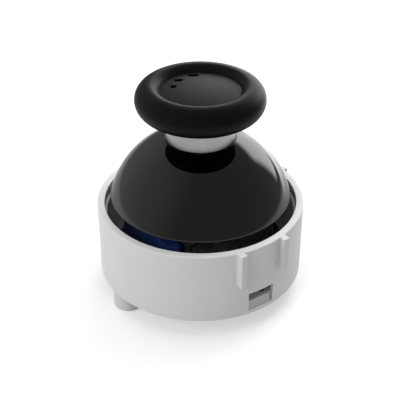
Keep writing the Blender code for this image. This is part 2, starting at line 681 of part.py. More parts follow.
def build_gimbal_frame(root):
    """Folded steel can round the gimbal: round top opening, axle holes, arm slot, board tabs."""
    outer = FRAME_HALF_WIDTH
    inner = FRAME_INNER
    top = PIVOT_HEIGHT + FRAME_TOP
    can = bmesh.new()
    add_rounded_box(can, (-outer, -outer, SEAT_LEVEL), (outer, outer, top), FRAME_CORNER_RADIUS)
    frame = solid("gimbal_frame", can, root, STEEL)

    tabs = bmesh.new()
    for x, y in frame_tab_points():
        along_x = 0.5 * FRAME_SHEET - HAIR if abs(x) > abs(y) else 0.5 * FRAME_TAB_WIDTH
        along_y = 0.5 * FRAME_TAB_WIDTH if abs(x) > abs(y) else 0.5 * FRAME_SHEET - HAIR
        add_box(tabs, (x - along_x, y - along_y, BOARD_BOTTOM - FRAME_TAB_REACH),
                (x + along_x, y + along_y, SEAT_LEVEL + FRAME_TAB_WIDTH))
    join(frame, solid("frame_tab_tool", tabs, root))

    room = bmesh.new()
    add_rounded_box(room, (-inner, -inner, 0.0), (inner, inner, top - FRAME_SHEET),
                    FRAME_CORNER_RADIUS - FRAME_SHEET)
    cut(frame, solid("frame_room_cutter", room, root))
    mouth = bmesh.new()
    add_rod(mouth, (0, 0, PIVOT_HEIGHT), (0, 0, top + FRAME_SHEET), FRAME_OPENING_RADIUS, DOME_STEPS)
    cut(frame, solid("frame_mouth_cutter", mouth, root))

    axle_y = bmesh.new()
    add_rod(axle_y, (0, -2 * outer, PIVOT_HEIGHT), (0, 2 * outer, PIVOT_HEIGHT), AXLE_HOLE_RADIUS)
    cut(frame, solid("frame_axle_cutter", axle_y, root))
    slots = bmesh.new()
    hole = AXLE_HOLE_RADIUS
    add_box(slots, (-2 * outer, -hole, PIVOT_HEIGHT - hole - PRESS_TRAVEL),
            (2 * outer, hole, PIVOT_HEIGHT + hole))
    cut(frame, solid("frame_slot_cutter", slots, root))
    arm = bmesh.new()
    half = 0.5 * SLIDER_ARM_WIDTH + FIT_GAP
    add_box(arm, (0, -half, SLIDER_ARM_BOTTOM - PRESS_TRAVEL - FIT_GAP),
            (2 * outer, half, SLIDER_ARM_TOP + FIT_GAP))
    cut(frame, solid("frame_arm_cutter", arm, root))


def build_sensor(name, root, body_material, turn):
    """Sensor housing on one side of the frame, with its terminals; turn 0 is the -X side."""
    spin = Matrix.Rotation(math.radians(turn), 4, 'Z')
    inner = SENSOR_INNER
    outer = SENSOR_OUTER
    half = SENSOR_HALF_WIDTH
    shoulder = PIVOT_HEIGHT + SENSOR_SHOULDER
    block = bmesh.new()
    add_box(block, (-outer, -half, SEAT_LEVEL), (-inner, half, shoulder))
    bmesh.ops.transform(block, matrix=spin, verts=block.verts)
    body = solid(name + "_body", block, root, body_material)

    crown = bmesh.new()
    add_rod(crown, (-outer + HAIR, 0, PIVOT_HEIGHT), (-inner - HAIR, 0, PIVOT_HEIGHT),
            SENSOR_TOP_RADIUS, MEDIUM_STEPS)
    bmesh.ops.transform(crown, matrix=spin, verts=crown.verts)
    join(body, solid(name + "_crown_tool", crown, root))

    corners = bmesh.new()
    for side in (-1, 1):
        centre = Vector((-outer, side * half, PIVOT_HEIGHT))
        slant = Matrix.Translation(centre) @ Matrix.Rotation(math.radians(45), 4, 'Z')
        size = SENSOR_CORNER * math.sqrt(2.0)
        shape = slant @ Matrix.Diagonal((size, size, 4 * PIVOT_HEIGHT, 1.0))
        bmesh.ops.create_cube(corners, size=1.0, matrix=shape)
    bmesh.ops.transform(corners, matrix=spin, verts=corners.verts)
    cut(body, solid(name + "_corner_cutter", corners, root))

    recess = bmesh.new()
    recess_radius = ROTOR_RADIUS + PRESS_TRAVEL + FIT_GAP
    add_rod(recess, (-outer + SENSOR_FACE_WALL, 0, PIVOT_HEIGHT), (0, 0, PIVOT_HEIGHT),
            recess_radius, MEDIUM_STEPS)
    bmesh.ops.transform(recess, matrix=spin, verts=recess.verts)
    cut(body, solid(name + "_recess_cutter", recess, root))

    points = sensor_terminal_points()
    own = points[:TERMINAL_COUNT] if turn == 0 else points[TERMINAL_COUNT:]
    size = 0.5 * TERMINAL_SIZE
    for index, (x, y) in enumerate(own):
        terminal = bmesh.new()
        add_box(terminal, (x - size, y - size, BOARD_BOTTOM - TERMINAL_TAIL),
                (x + size, y + size, SEAT_LEVEL - 0.5 * CLOSE_GAP))
        solid("%s_terminal_%d" % (name, index + 1), terminal, root, TIN)


def build_rotor(name, holder, turn):
    """Sensor disc keyed on an axle end, made about the pivot; turn 0 is the -X side."""
    spin = Matrix.Rotation(math.radians(turn), 4, 'Z')
    disc = bmesh.new()
    add_rod(disc, (-ROTOR_END, 0, 0), (-SENSOR_INNER - 0.5 * CLOSE_GAP, 0, 0), ROTOR_RADIUS)
    bmesh.ops.transform(disc, matrix=spin, verts=disc.verts)
    rotor = solid(name, disc, holder, WHITE_PLASTIC)
    bore = bmesh.new()
    add_rod(bore, (-2 * ROTOR_END, 0, 0), (0, 0, 0), AXLE_RADIUS + CLOSE_GAP)
    bmesh.ops.transform(bore, matrix=spin, verts=bore.verts)
    cut(rotor, solid(name + "_bore_cutter", bore, holder))


def build_lower_rocker(holder):
    """Cross shaft along X with a slotted block that carries the stick's pivot pin."""
    half = (0.5 * ROCKER_BLOCK_LENGTH, 0.5 * ROCKER_BLOCK_WIDTH, 0.5 * ROCKER_BLOCK_HEIGHT)
    block = bmesh.new()
    add_rounded_box(block, (-half[0], -half[1], -half[2]), half, ROCKER_BLOCK_ROUND)
    rocker = solid("lower_rocker", block, holder, WHITE_PLASTIC)
    axle = bmesh.new()
    add_rod(axle, (-ROTOR_END, 0, 0), (FRAME_HALF_WIDTH + FIT_GAP, 0, 0), AXLE_RADIUS)
    join(rocker, solid("lower_axle_tool", axle, holder))

    limit = math.radians(TILT_LIMIT)
    reach = SHAFT_RADIUS / math.cos(limit) + half[2] * math.tan(limit) + FIT_GAP
    slot = bmesh.new()
    add_box(slot, (-reach, -SHAFT_HOLE_RADIUS, -2 * half[2]), (reach, SHAFT_HOLE_RADIUS, 2 * half[2]))
    cut(rocker, solid("lower_slot_cutter", slot, holder))
    bore = bmesh.new()
    add_rod(bore, (0, -2 * half[1], 0), (0, 2 * half[1], 0), PIN_RADIUS + CLOSE_GAP, TINY_STEPS)
    cut(rocker, solid("pin_bore_cutter", bore, holder))


def build_pivot_pin(holder):
    """Steel pin along Y that the stick turns on."""
    half = 0.5 * (ROCKER_BLOCK_WIDTH - CLOSE_GAP)
    pin = bmesh.new()
    add_rod(pin, (0, -half, 0), (0, half, 0), PIN_RADIUS, TINY_STEPS)
    solid("pivot_pin", pin, holder, STEEL)


def build_upper_rocker(holder):
    """Arched bail over the stick, slotted along Y, on axles along Y."""
    half = 0.5 * BAIL_WIDTH
    inner = BAIL_RADIUS - BAIL_THICKNESS
    ring = bmesh.new()
    add_rod(ring, (-half, 0, 0), (half, 0, 0), BAIL_RADIUS, DOME_STEPS)
    bail = solid("upper_rocker", ring, holder, WHITE_PLASTIC)
    hollow = bmesh.new()
    add_rod(hollow, (-2 * half, 0, 0), (2 * half, 0, 0), inner, DOME_STEPS)
    cut(bail, solid("bail_hollow_cutter", hollow, holder))
    lower = bmesh.new()
    add_box(lower, (-2 * half, -2 * BAIL_RADIUS, -2 * BAIL_RADIUS), (2 * half, 2 * BAIL_RADIUS, 0))
    cut(bail, solid("bail_lower_cutter", lower, holder))

    bosses = bmesh.new()
    axles = bmesh.new()
    for side in (-1, 1):
        add_rod(bosses, (0, side * (inner + HAIR), 0), (0, side * (BAIL_RADIUS - HAIR), 0), BAIL_BOSS_RADIUS)
    join(bail, solid("bail_boss_tool", bosses, holder))
    middle = BAIL_RADIUS - 0.5 * BAIL_THICKNESS
    add_rod(axles, (0, -ROTOR_END, 0), (0, -middle, 0), AXLE_RADIUS)
    add_rod(axles, (0, middle, 0), (0, FRAME_HALF_WIDTH + FIT_GAP, 0), AXLE_RADIUS)
    join(bail, solid("bail_axle_tool", axles, holder))

    swing = math.radians(TILT_LIMIT) + math.asin((SHAFT_RADIUS + FIT_GAP) / BAIL_RADIUS)
    reach = BAIL_RADIUS * math.sin(swing) + RUNNING_GAP
    slot = bmesh.new()
    wide = SHAFT_HOLE_RADIUS
    add_rounded_box(slot, (-wide, -reach, 0.5 * inner), (wide, reach, 2 * BAIL_RADIUS), BAIL_SLOT_ROUND)
    cut(bail, solid("bail_slot_cutter", slot, holder))


def build_stick_shaft(holder):
    """Steel shaft with a rounded foot below the pivot and a shoulder under the dome hub."""
    foot_edge = math.asin(SHAFT_RADIUS / SHAFT_FOOT_RADIUS)
    foot = []
    for index in range(FOOT_ARC_STEPS + 1):
        angle = foot_edge * (1 - index / FOOT_ARC_STEPS)
        foot.append((SHAFT_FOOT_RADIUS * math.sin(angle), -SHAFT_FOOT_RADIUS * math.cos(angle)))
    shoulder_low = SHOULDER_TOP - SHOULDER_HEIGHT
    profile = [(0.0, SHAFT_TOP), (SHAFT_RADIUS, SHAFT_TOP)]
    profile += [(SHAFT_RADIUS, SHOULDER_TOP), (SHOULDER_RADIUS, SHOULDER_TOP)]
    profile += [(SHOULDER_RADIUS, shoulder_low), (SHAFT_RADIUS, shoulder_low)]
    profile += foot
    shaft = turned("stick_shaft", profile, holder, STEEL, steps=SMALL_STEPS, closed=False)
    bore = bmesh.new()
    add_rod(bore, (0, -2 * SHAFT_RADIUS, 0), (0, 2 * SHAFT_RADIUS, 0), PIN_RADIUS + CLOSE_GAP, TINY_STEPS)
    cut(shaft, solid("shaft_bore_cutter", bore, holder))


def build_dome(holder):
    """Glossy spherical skirt with a collar for the trim ring and a hub on the shaft."""
    inner = DOME_RADIUS - DOME_WALL
    collar_angle = math.degrees(math.acos(COLLAR_RADIUS / DOME_RADIUS))
    roof_angle = math.degrees(math.asin(DOME_ROOF_UNDERSIDE / inner))
    bore = SHAFT_HOLE_RADIUS
    hub = bore + DOME_HUB_WALL
    core_bore = CORE_HUB_RADIUS + FIT_GAP
    ledge = DOME_ROOF_UNDERSIDE
    profile = [(core_bore, COLLAR_TOP), (COLLAR_RADIUS, COLLAR_TOP)]
    profile += arc(0, 0, DOME_RADIUS, collar_angle, DOME_LIP_ANGLE, DOME_ARC_STEPS)
    profile += arc(0, 0, inner, DOME_LIP_ANGLE, roof_angle, DOME_INNER_ARC_STEPS)
    profile += [(hub, ledge), (hub, ledge - DOME_HUB_LENGTH), (bore, ledge - DOME_HUB_LENGTH)]
    profile += [(bore, ledge), (core_bore, ledge + CLOSE_GAP)]
    turned("dome_skirt", profile, holder, GLOSS_BLACK, steps=DOME_STEPS)


def build_trim_ring(holder):
    """Satin metal ring between the dome collar and the cap."""
    inner = RING_RADIUS - RING_WALL
    top = CAP_UNDERSIDE - 0.5 * CLOSE_GAP
    bottom = COLLAR_TOP + 0.5 * CLOSE_GAP
    profile = [(inner, top), (RING_RADIUS, top), (RING_RADIUS, bottom + RING_BEVEL)]
    profile += [(RING_RADIUS - RING_BEVEL, bottom), (inner, bottom)]
    turned("trim_ring", profile, holder, SATIN_METAL, steps=DOME_STEPS)


def build_thumb_cap(holder):
    """Rubber cap: round rim, crowned disc, three recessed dashes, pocket for the core."""
    tube = CAP_TUBE_RADIUS
    major = CAP_RADIUS - tube
    pocket = CORE_RADIUS + CLOSE_GAP
    ceiling = CORE_TOP + CLOSE_GAP
    crease = math.asin((tube - CAP_DISH_DEPTH) / tube)
    crease_height = CAP_TUBE_HEIGHT + tube - CAP_DISH_DEPTH
    slope_reach = (major - CAP_DISC_RADIUS) / math.cos(crease)
    disc = []
    for index in range(DISC_ARC_STEPS):
        share = index / DISC_ARC_STEPS
        disc.append((CAP_DISC_RADIUS * share, crease_height + CAP_DISC_CROWN * (1 - share ** 2)))
    slope = []
    for index in range(CAP_SLOPE_STEPS):
        angle = crease + (0.5 * math.pi - crease) * index / CAP_SLOPE_STEPS
        slope.append((major - slope_reach * math.cos(angle), CAP_TUBE_HEIGHT + tube * math.sin(angle)))
    profile = disc + slope + arc(major, CAP_TUBE_HEIGHT, tube, 90, -90, CAP_ARC_STEPS)
    profile += [(pocket, CAP_UNDERSIDE), (pocket, ceiling), (0.0, ceiling)]
    cap = turned("thumb_cap", profile, holder, RUBBER, steps=DOME_STEPS, closed=False)

    dashes = bmesh.new()
    heading = math.radians(DASH_HEADING)
    for index, (share, bearing) in enumerate(DASH_PLACES):
        angle = math.radians(bearing) + heading
        place = Vector((math.cos(angle), math.sin(angle), 0)) * CAP_DISC_RADIUS * share
        surface = crease_height + CAP_DISC_CROWN * (1 - share ** 2)
        length = DASH_FIRST_LENGTH + index * DASH_GROWTH
        shape = bmesh.new()
        add_rounded_box(shape, (-0.5 * length, -0.5 * DASH_WIDTH, -DASH_DEPTH),
                        (0.5 * length, 0.5 * DASH_WIDTH, 3 * DASH_DEPTH), DASH_ROUND)
        move = Matrix.Translation((place.x, place.y, surface)) @ Matrix.Rotation(heading, 4, 'Z')
        bmesh.ops.transform(shape, matrix=move, verts=shape.verts)
        piece = bpy.data.meshes.new("dash")
        shape.to_mesh(piece)
        shape.free()
        dashes.from_mesh(piece)
        bpy.data.meshes.remove(piece)
    cut(cap, solid("dash_cutter", dashes, holder))


def build_cap_core(holder):
    """Hard plastic core that joins the cap to the shaft inside the trim ring."""
    bore = SHAFT_HOLE_RADIUS
    hub = CORE_HUB_RADIUS
    bottom = DOME_ROOF_UNDERSIDE + 2 * FIT_GAP + CLOSE_GAP
    ceiling = SHAFT_TOP + FIT_GAP
    profile = [(0.0, CORE_TOP), (CORE_RADIUS, CORE_TOP), (CORE_RADIUS, CORE_BOTTOM), (hub, CORE_BOTTOM)]
    profile += [(hub, bottom), (bore, bottom), (bore, ceiling), (0.0, ceiling)]
    turned("cap_core", profile, holder, BLACK_PLASTIC, steps=MEDIUM_STEPS, closed=False)


def build_press_slider(holder):
    """Yoke that carries the lower rocker's axle, slides in the frame and presses the switch."""
    level = -PIVOT_HEIGHT
    bottom = level + SLIDER_RING_BOTTOM
    ring_outer = SLIDER_RING_INNER + SLIDER_RING_WALL
    ring_top = bottom + SLIDER_RING_HEIGHT
    slider = turned("press_slider", [(SLIDER_RING_INNER, ring_top), (ring_outer, ring_top),
                                     (ring_outer, bottom), (SLIDER_RING_INNER, bottom)],
                    holder, BLACK_PLASTIC, steps=MEDIUM_STEPS)
    cheeks = bmesh.new()
    half = 0.5 * SLIDER_CHEEK_WIDTH
    cheek_top = AXLE_HOLE_RADIUS + SLIDER_CHEEK
    for side in (-1, 1):
        near = side * SLIDER_CHEEK_INNER
        far = side * SLIDER_CHEEK_OUTER
        add_box(cheeks, (min(near, far), -half, bottom + WELD), (max(near, far), half, cheek_top))
    join(slider, solid("slider_cheek_tool", cheeks, holder))
    feet = bmesh.new()
    middle = 0.5 * (SLIDER_RING_INNER + ring_outer)
    half = 0.5 * SLIDER_FOOT_WIDTH
    for side in (-1, 1):
        near = side * middle
        far = side * (SLIDER_CHEEK_OUTER - WELD)
        add_box(feet, (min(near, far), -half, bottom + 2 * WELD), (max(near, far), half, ring_top - WELD))
    join(slider, solid("slider_foot_tool", feet, holder))
    arm = bmesh.new()
    width = 0.5 * SLIDER_ARM_WIDTH
    add_box(arm, (0.5 * (SLIDER_CHEEK_INNER + SLIDER_CHEEK_OUTER), -width, level + SLIDER_ARM_BOTTOM),
            (SWITCH_CENTRE + BUTTON_RADIUS, width, level + SLIDER_ARM_TOP))
    join(slider, solid("slider_arm_tool", arm, holder))
    bores = bmesh.new()
    add_rod(bores, (-2 * SLIDER_CHEEK_OUTER, 0, 0), (2 * SLIDER_CHEEK_OUTER, 0, 0), AXLE_HOLE_RADIUS)
    cut(slider, solid("slider_bore_cutter", bores, holder))


def build_plunger(holder):
    """Spring plunger: a bowl under the stick's foot, with a flange on the spring."""
    edge = math.radians(PLUNGER_BOWL_ANGLE)
    rim_height = -BOWL_RADIUS * math.cos(edge)
    bowl = []
    for index in range(BOWL_ARC_STEPS):
        angle = edge * index / BOWL_ARC_STEPS
        bowl.append((BOWL_RADIUS * math.sin(angle), -BOWL_RADIUS * math.cos(angle)))
    bottom = -BOWL_RADIUS - PLUNGER_FLANGE
    under = rim_height - PLUNGER_FLANGE
    profile = bowl + [(BOWL_RADIUS * math.sin(edge), rim_height), (PLUNGER_RADIUS, rim_height)]
    stem = PLUNGER_STEM_RADIUS
    profile += [(PLUNGER_RADIUS, under), (stem, under), (stem, bottom), (0.0, bottom)]
    turned("spring_plunger", profile, holder, BLACK_PLASTIC, steps=MEDIUM_STEPS, closed=False)


def build_return_spring(root):
    """Coil spring between the gimbal's cup and the plunger's flange."""
    low = SPRING_CUP_BOTTOM + SPRING_CUP_WALL + SPRING_WIRE_RADIUS + CLOSE_GAP
    flange = PIVOT_HEIGHT - BOWL_RADIUS * math.cos(math.radians(PLUNGER_BOWL_ANGLE)) - PLUNGER_FLANGE
    high = flange - SPRING_WIRE_RADIUS - CLOSE_GAP
    curve = bpy.data.curves.new("return_spring", 'CURVE')
    curve.dimensions = '3D'
    curve.bevel_depth = SPRING_WIRE_RADIUS
    curve.bevel_resolution = 1
    curve.use_fill_caps = True
    dead = SPRING_DEAD_TURNS
    total = int(TINY_STEPS * (SPRING_TURNS + 2 * dead))
    spline = curve.splines.new('POLY')
    spline.points.add(total)
    pitch_floor = 2 * SPRING_WIRE_RADIUS + SPRING_CLOSED_GAP
    for index in range(total + 1):
        turns = index / TINY_STEPS
        angle = math.tau * turns
        rise = min(turns, dead) * pitch_floor
        active = min(max(turns - dead, 0.0), SPRING_TURNS)
        body = high - low - 2 * dead * pitch_floor
        rise += active / SPRING_TURNS * body + max(turns - dead - SPRING_TURNS, 0.0) * pitch_floor
        x = SPRING_RADIUS * math.cos(angle)
        y = SPRING_RADIUS * math.sin(angle)
        spline.points[index].co = (x, y, low + rise, 1.0)
    spring = bpy.data.objects.new("return_spring", curve)
    spring.parent = root
    PARTS.objects.link(spring)
    curve.materials.append(STEEL)


def build_switch(root, holder):
    """Push switch on the board under the slider's arm: body and button."""
    half = 0.5 * SWITCH_WIDTH
    block = bmesh.new()
    far = SWITCH_INNER + SWITCH_LENGTH
    add_rounded_box(block, (SWITCH_INNER, -half, SEAT_LEVEL), (far, half, SWITCH_TOP), SWITCH_ROUND)
    body = solid("switch_body", block, root, BLACK_PLASTIC)
    x = SWITCH_CENTRE
    well = bmesh.new()
    add_rod(well, (x, 0, SEAT_LEVEL + SWITCH_WELL_FLOOR), (x, 0, 2 * SWITCH_TOP), BUTTON_RADIUS + CLOSE_GAP)
    cut(body, solid("switch_well_cutter", well, root))
    button = bmesh.new()
    sunk = SWITCH_WELL_FLOOR + FIT_GAP + BUTTON_TRAVEL
    add_rod(button, (0, 0, sunk - SWITCH_HEIGHT), (0, 0, BUTTON_RISE), BUTTON_RADIUS)
    solid("switch_button", button, holder, WHITE_PLASTIC)


def build_capacitors(root):
    """Three small filter capacitors on the board."""
    half_length = 0.5 * CAPACITOR_LENGTH
    half_width = 0.5 * CAPACITOR_WIDTH
    bottom = BOARD_TOP + 0.5 * CLOSE_GAP
    y = CAPACITOR_RADIUS
    for index in range(CAPACITOR_COUNT):
        x = (index - 0.5 * (CAPACITOR_COUNT - 1)) * CAPACITOR_PITCH
        chip = bmesh.new()
        add_box(chip, (x - half_width, y - half_length, bottom),
                (x + half_width, y + half_length, bottom + CAPACITOR_WIDTH))
        solid("board_capacitor_%d" % (index + 1), chip, root, CERAMIC)


def apply_modifiers():
    """Replace each part by its finished mesh, shaded smooth up to its sharp edges."""
    bpy.context.view_layer.update()
    depsgraph = bpy.context.evaluated_depsgraph_get()
    finished = []
    for obj in PARTS.objects:
        if obj.type in {'MESH', 'CURVE'}:
            mesh = bpy.data.meshes.new_from_object(obj.evaluated_get(depsgraph))
            finished.append((obj, mesh))
    for obj, mesh in finished:
        if obj.type == 'CURVE':
            name = obj.name
            parent = obj.parent
            bpy.data.objects.remove(obj, do_unlink=True)
            shape = bmesh.new()
            shape.from_mesh(mesh)
            bmesh.ops.remove_doubles(shape, verts=shape.verts, dist=MERGE_DISTANCE)
            shape.to_mesh(mesh)
            shape.free()
            obj = bpy.data.objects.new(name, mesh)
            obj.parent = parent
            PARTS.objects.link(obj)
        else:
            obj.modifiers.clear()
            obj.data = mesh
        mesh.shade_smooth()
        mesh.set_sharp_from_angle(angle=math.radians(SHARP_ANGLE))


clear_scene()
PARTS = make_collection("joystick_module")
TOOLS = make_collection("cutters")

GREY_PLASTIC = make_material("light_grey_plastic", (0.62, 0.62, 0.63), 0.5)
DARK_PLASTIC = make_material("dark_grey_plastic", (0.05, 0.05, 0.055), 0.3)
BLACK_PLASTIC = make_material("black_plastic", (0.015, 0.015, 0.016), 0.4)
GLOSS_BLACK = make_material("gloss_black_plastic", (0.004, 0.004, 0.004), 0.06)
NAVY_PLASTIC = make_material("navy_plastic", (0.01, 0.025, 0.12), 0.3)
WHITE_PLASTIC = make_material("white_plastic", (0.75, 0.75, 0.73), 0.4)
RUBBER = make_material("black_rubber", (0.012, 0.012, 0.013), 0.5)
STEEL = make_material("steel", (0.55, 0.55, 0.56), 0.3, 1.0)
SATIN_METAL = make_material("satin_metal", (0.62, 0.62, 0.63), 0.3, 1.0)
TIN = make_material("tinned_metal", (0.7, 0.7, 0.68), 0.35, 1.0)
GOLD = make_material("gold_plating", (0.85, 0.62, 0.25), 0.3, 1.0)
BOARD_GREEN = make_material("board_green", (0.01, 0.09, 0.04), 0.35)
CONNECTOR_BEIGE = make_material("connector_beige", (0.55, 0.5, 0.42), 0.5)
CERAMIC = make_material("brown_ceramic", (0.35, 0.22, 0.12), 0.4)

PIVOT = (0.0, 0.0, PIVOT_HEIGHT)
ROOT = make_holder("module_origin", (0.0, 0.0, 0.0))
PRESS = make_holder("press_axis", PIVOT)
TILT_Y = make_holder("tilt_y_axis", PIVOT)
STICK = make_holder("tilt_x_axis", PIVOT)
BAIL = make_holder("bail_axis", PIVOT)
PLUNGER = make_holder("plunger_axis", PIVOT)
BUTTON = make_holder("button_axis", (SWITCH_CENTRE, 0.0, SWITCH_TOP))

SILL_BACK = build_housing(ROOT)
build_base_plate(ROOT, SILL_BACK)
build_base_screws(ROOT)
build_liner(ROOT)
build_circuit_board(ROOT)
build_connector(ROOT)
build_gimbal_base(ROOT)
build_gimbal_frame(ROOT)
build_sensor("sensor_y", ROOT, NAVY_PLASTIC, 0)
build_sensor("sensor_x", ROOT, BLACK_PLASTIC, 90)
build_rotor("sensor_y_rotor", TILT_Y, 0)
build_rotor("sensor_x_rotor", BAIL, 90)
build_lower_rocker(TILT_Y)
build_pivot_pin(TILT_Y)
build_upper_rocker(BAIL)
build_stick_shaft(STICK)
build_dome(STICK)
build_trim_ring(STICK)
build_cap_core(STICK)
build_thumb_cap(STICK)
build_press_slider(PRESS)
build_plunger(PLUNGER)
build_return_spring(ROOT)
build_switch(ROOT, BUTTON)
build_capacitors(ROOT)
apply_modifiers()
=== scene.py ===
"""Looks of the two-axis thumb joystick module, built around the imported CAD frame.

The module's lengths are written in millimetres times MM, and the studio's in metres. Angles are in
degrees. The origin is the centre of the seat face, +Z is up, the cable window faces -Y and the side
rib is on +X.
"""
import json
import math

import bmesh
import bpy
from mathutils import Matrix, Vector


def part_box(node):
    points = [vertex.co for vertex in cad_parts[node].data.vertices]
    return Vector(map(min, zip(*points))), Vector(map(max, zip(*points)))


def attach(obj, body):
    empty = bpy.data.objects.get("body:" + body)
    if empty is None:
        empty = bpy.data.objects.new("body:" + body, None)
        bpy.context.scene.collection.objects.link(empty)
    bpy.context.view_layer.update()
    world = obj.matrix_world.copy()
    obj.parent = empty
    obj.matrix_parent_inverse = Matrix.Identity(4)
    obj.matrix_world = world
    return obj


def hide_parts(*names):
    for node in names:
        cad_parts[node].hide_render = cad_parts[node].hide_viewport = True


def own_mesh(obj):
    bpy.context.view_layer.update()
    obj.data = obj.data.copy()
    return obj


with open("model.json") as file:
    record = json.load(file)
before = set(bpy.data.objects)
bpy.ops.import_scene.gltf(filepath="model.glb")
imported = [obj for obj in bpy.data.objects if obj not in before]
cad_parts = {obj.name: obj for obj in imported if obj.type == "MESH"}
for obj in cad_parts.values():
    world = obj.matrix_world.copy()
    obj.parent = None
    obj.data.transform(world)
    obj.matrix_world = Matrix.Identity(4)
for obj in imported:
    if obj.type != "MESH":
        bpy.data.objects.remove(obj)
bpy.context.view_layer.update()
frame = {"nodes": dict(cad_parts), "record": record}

MM = 0.001

# Camera, worked out from the ellipses in the photograph
CAMERA_LENS = 82.66
CAMERA_SENSOR = 36.0
CAMERA_DISTANCE = 140.575 * MM
CAMERA_TARGET = Vector((0.0, 0.0, 10.74 * MM))
CAMERA_AZIMUTH = -34.85
CAMERA_ELEVATION = 32.99
CAMERA_SHIFT_X = -0.00095
CAMERA_SHIFT_Y = 0.0007
CAMERA_NEAR = 0.01
CAMERA_FAR = 20.0

# Facets round a full turn
SKIRT_STEPS = 256
FINE_STEPS = 192
MEDIUM_STEPS = 96
SMALL_STEPS = 48

# Shared by several pieces; what is joined is kept off the other's plane or sunk into it
CORNER_STEPS = 5
ON_AXIS = 1e-9
OFF_PLANE = 0.01 * MM
CUT_MARGIN = 1.0 * MM
WALL_WELD = 0.1 * MM
EDGE_SOFTENING = 0.05 * MM
EDGE_SEGMENTS = 2
EDGE_ANGLE = 38.0
SMOOTH_ANGLE = 42.0
FACE_WEIGHT = 80

# Housing cup
HOUSING_RADIUS = 15.68 * MM
HOUSING_HEIGHT = 11.4 * MM
BORE_RADIUS = 15.0 * MM
RIM_INNER_RADIUS = 14.58 * MM
RIM_DEPTH = 0.8 * MM
RIM_EDGE_ROUND = 0.18 * MM
RIM_INNER_ROUND = 0.06 * MM
FOOT_EDGE_ROUND = 0.05 * MM
RIB_REACH = 16.24 * MM
RIB_THICKNESS = 0.95 * MM
RIB_HEIGHT = 5.55 * MM
RIB_SPACING = 7.46 * MM
RIB_ROOT_ROUND = 0.22 * MM
RIB_ROOT_STEPS = 6
RIB_SINK = 0.3 * MM
SIDE_RIB_OFFSET = -0.6 * MM
SIDE_RIB_SINK = 0.02 * MM
PEG_RADIUS = 2.28 * MM
PEG_TIP = -3.15 * MM
PEG_CENTRE = 13.38 * MM
PEG_CHAMFER = 0.3 * MM
PEG_ROUND = 0.06 * MM
PEG_TOP = 0.4 * MM
LUG_WIDTH = 5.2 * MM
LUG_INNER_RADIUS = 10.78 * MM
LUG_THICKNESS = 0.8 * MM
LUG_BOW_STEPS = 8
WINDOW_WIDTH = 4.47 * MM
WINDOW_HEIGHT = 3.12 * MM
WINDOW_SILL = 0.58 * MM
WINDOW_ROUND = 0.12 * MM
WINDOW_PAST_BORE = 0.7 * MM
SILL_BOTTOM = 0.3 * MM
SILL_TOP = 2.2 * MM
SILL_FRONT = -15.4 * MM
SILL_BACK = -13.9 * MM
SILL_STEP_WIDTH = 0.47 * MM
SILL_STEP_INSET = 0.35 * MM
SILL_NOTCH_WIDTH = 1.15 * MM
SILL_NOTCH_DEPTH = 0.7 * MM

# Liner sleeve and its ledge, with a notch for the connector
LINER_OUTER_RADIUS = 14.75 * MM
LINER_INNER_RADIUS = 14.25 * MM
LINER_TOP = 9.8 * MM
LINER_BOTTOM = 1.1 * MM
LINER_EDGE_ROUND = 0.08 * MM
LEDGE_RADIUS = 13.0 * MM
LEDGE_BOTTOM = 2.75 * MM
LEDGE_TOP = 3.4 * MM
LINER_NOTCH_HALF = 3.2 * MM
LINER_NOTCH_TOP = 4.4 * MM

# Tilting stick; its heights are above the pivot, and the skirt's arcs start just above its lip
PIVOT = Vector((0.0, 0.0, 8.78 * MM))
DOME_RADIUS = 14.13 * MM
DOME_INNER_RADIUS = 13.13 * MM
DOME_LIP_ANGLE = 15.0
DOME_LIP_ROUND = 0.14 * MM
DOME_OUTER_START = 1.2
DOME_OUTER_STEPS = 64
DOME_INNER_START = 1.5
DOME_INNER_STEPS = 40
DOME_ROOF = 1.22 * MM
HUB_RADIUS = 2.8 * MM
HUB_LENGTH = 2.8 * MM
HUB_BORE = 1.8 * MM
CORE_BORE = 3.0 * MM
CORE_BORE_STEP = 0.2 * MM
COLLAR_RADIUS = 5.33 * MM
COLLAR_TOP = 13.106 * MM
RING_RADIUS = 5.14 * MM
RING_INNER_RADIUS = 4.34 * MM
RING_BOTTOM = 13.15 * MM
RING_TOP = 16.956 * MM
RING_BEVEL = 0.12 * MM
RING_TOP_ROUND = 0.04 * MM
RING_FOOT_ROUND = 0.03 * MM
RING_SMOOTH_ANGLE = 30.0
CAP_TUBE_RADIUS = 2.26 * MM
CAP_TUBE_CENTRE = 7.21 * MM
CAP_TUBE_HEIGHT = 19.316 * MM
CAP_DISC_RADIUS = 5.86 * MM
CAP_DISC_CROWN = 0.35 * MM
CAP_DISH_DEPTH = 0.84 * MM
CAP_DISC_STEPS = 24
CAP_RIM_STEPS = 60
CAP_POCKET_RADIUS = 4.2 * MM
CAP_POCKET_CEILING = 19.356 * MM
CAP_SMOOTH_ANGLE = 32.0
DASH_HEADING = -34.5
DASH_WIDTH = 0.9 * MM
DASH_DEPTH = 0.45 * MM
DASH_BOW = 1.7 * MM
DASH_BOW_STEPS = 12
DASH_LENGTHS = (0.83 * MM, 1.18 * MM, 1.54 * MM)
# Share of the disc's radius and bearing from the heading
DASH_PLACES = ((0.66, 172.0), (0.7, 140.0), (0.765, 103.0))

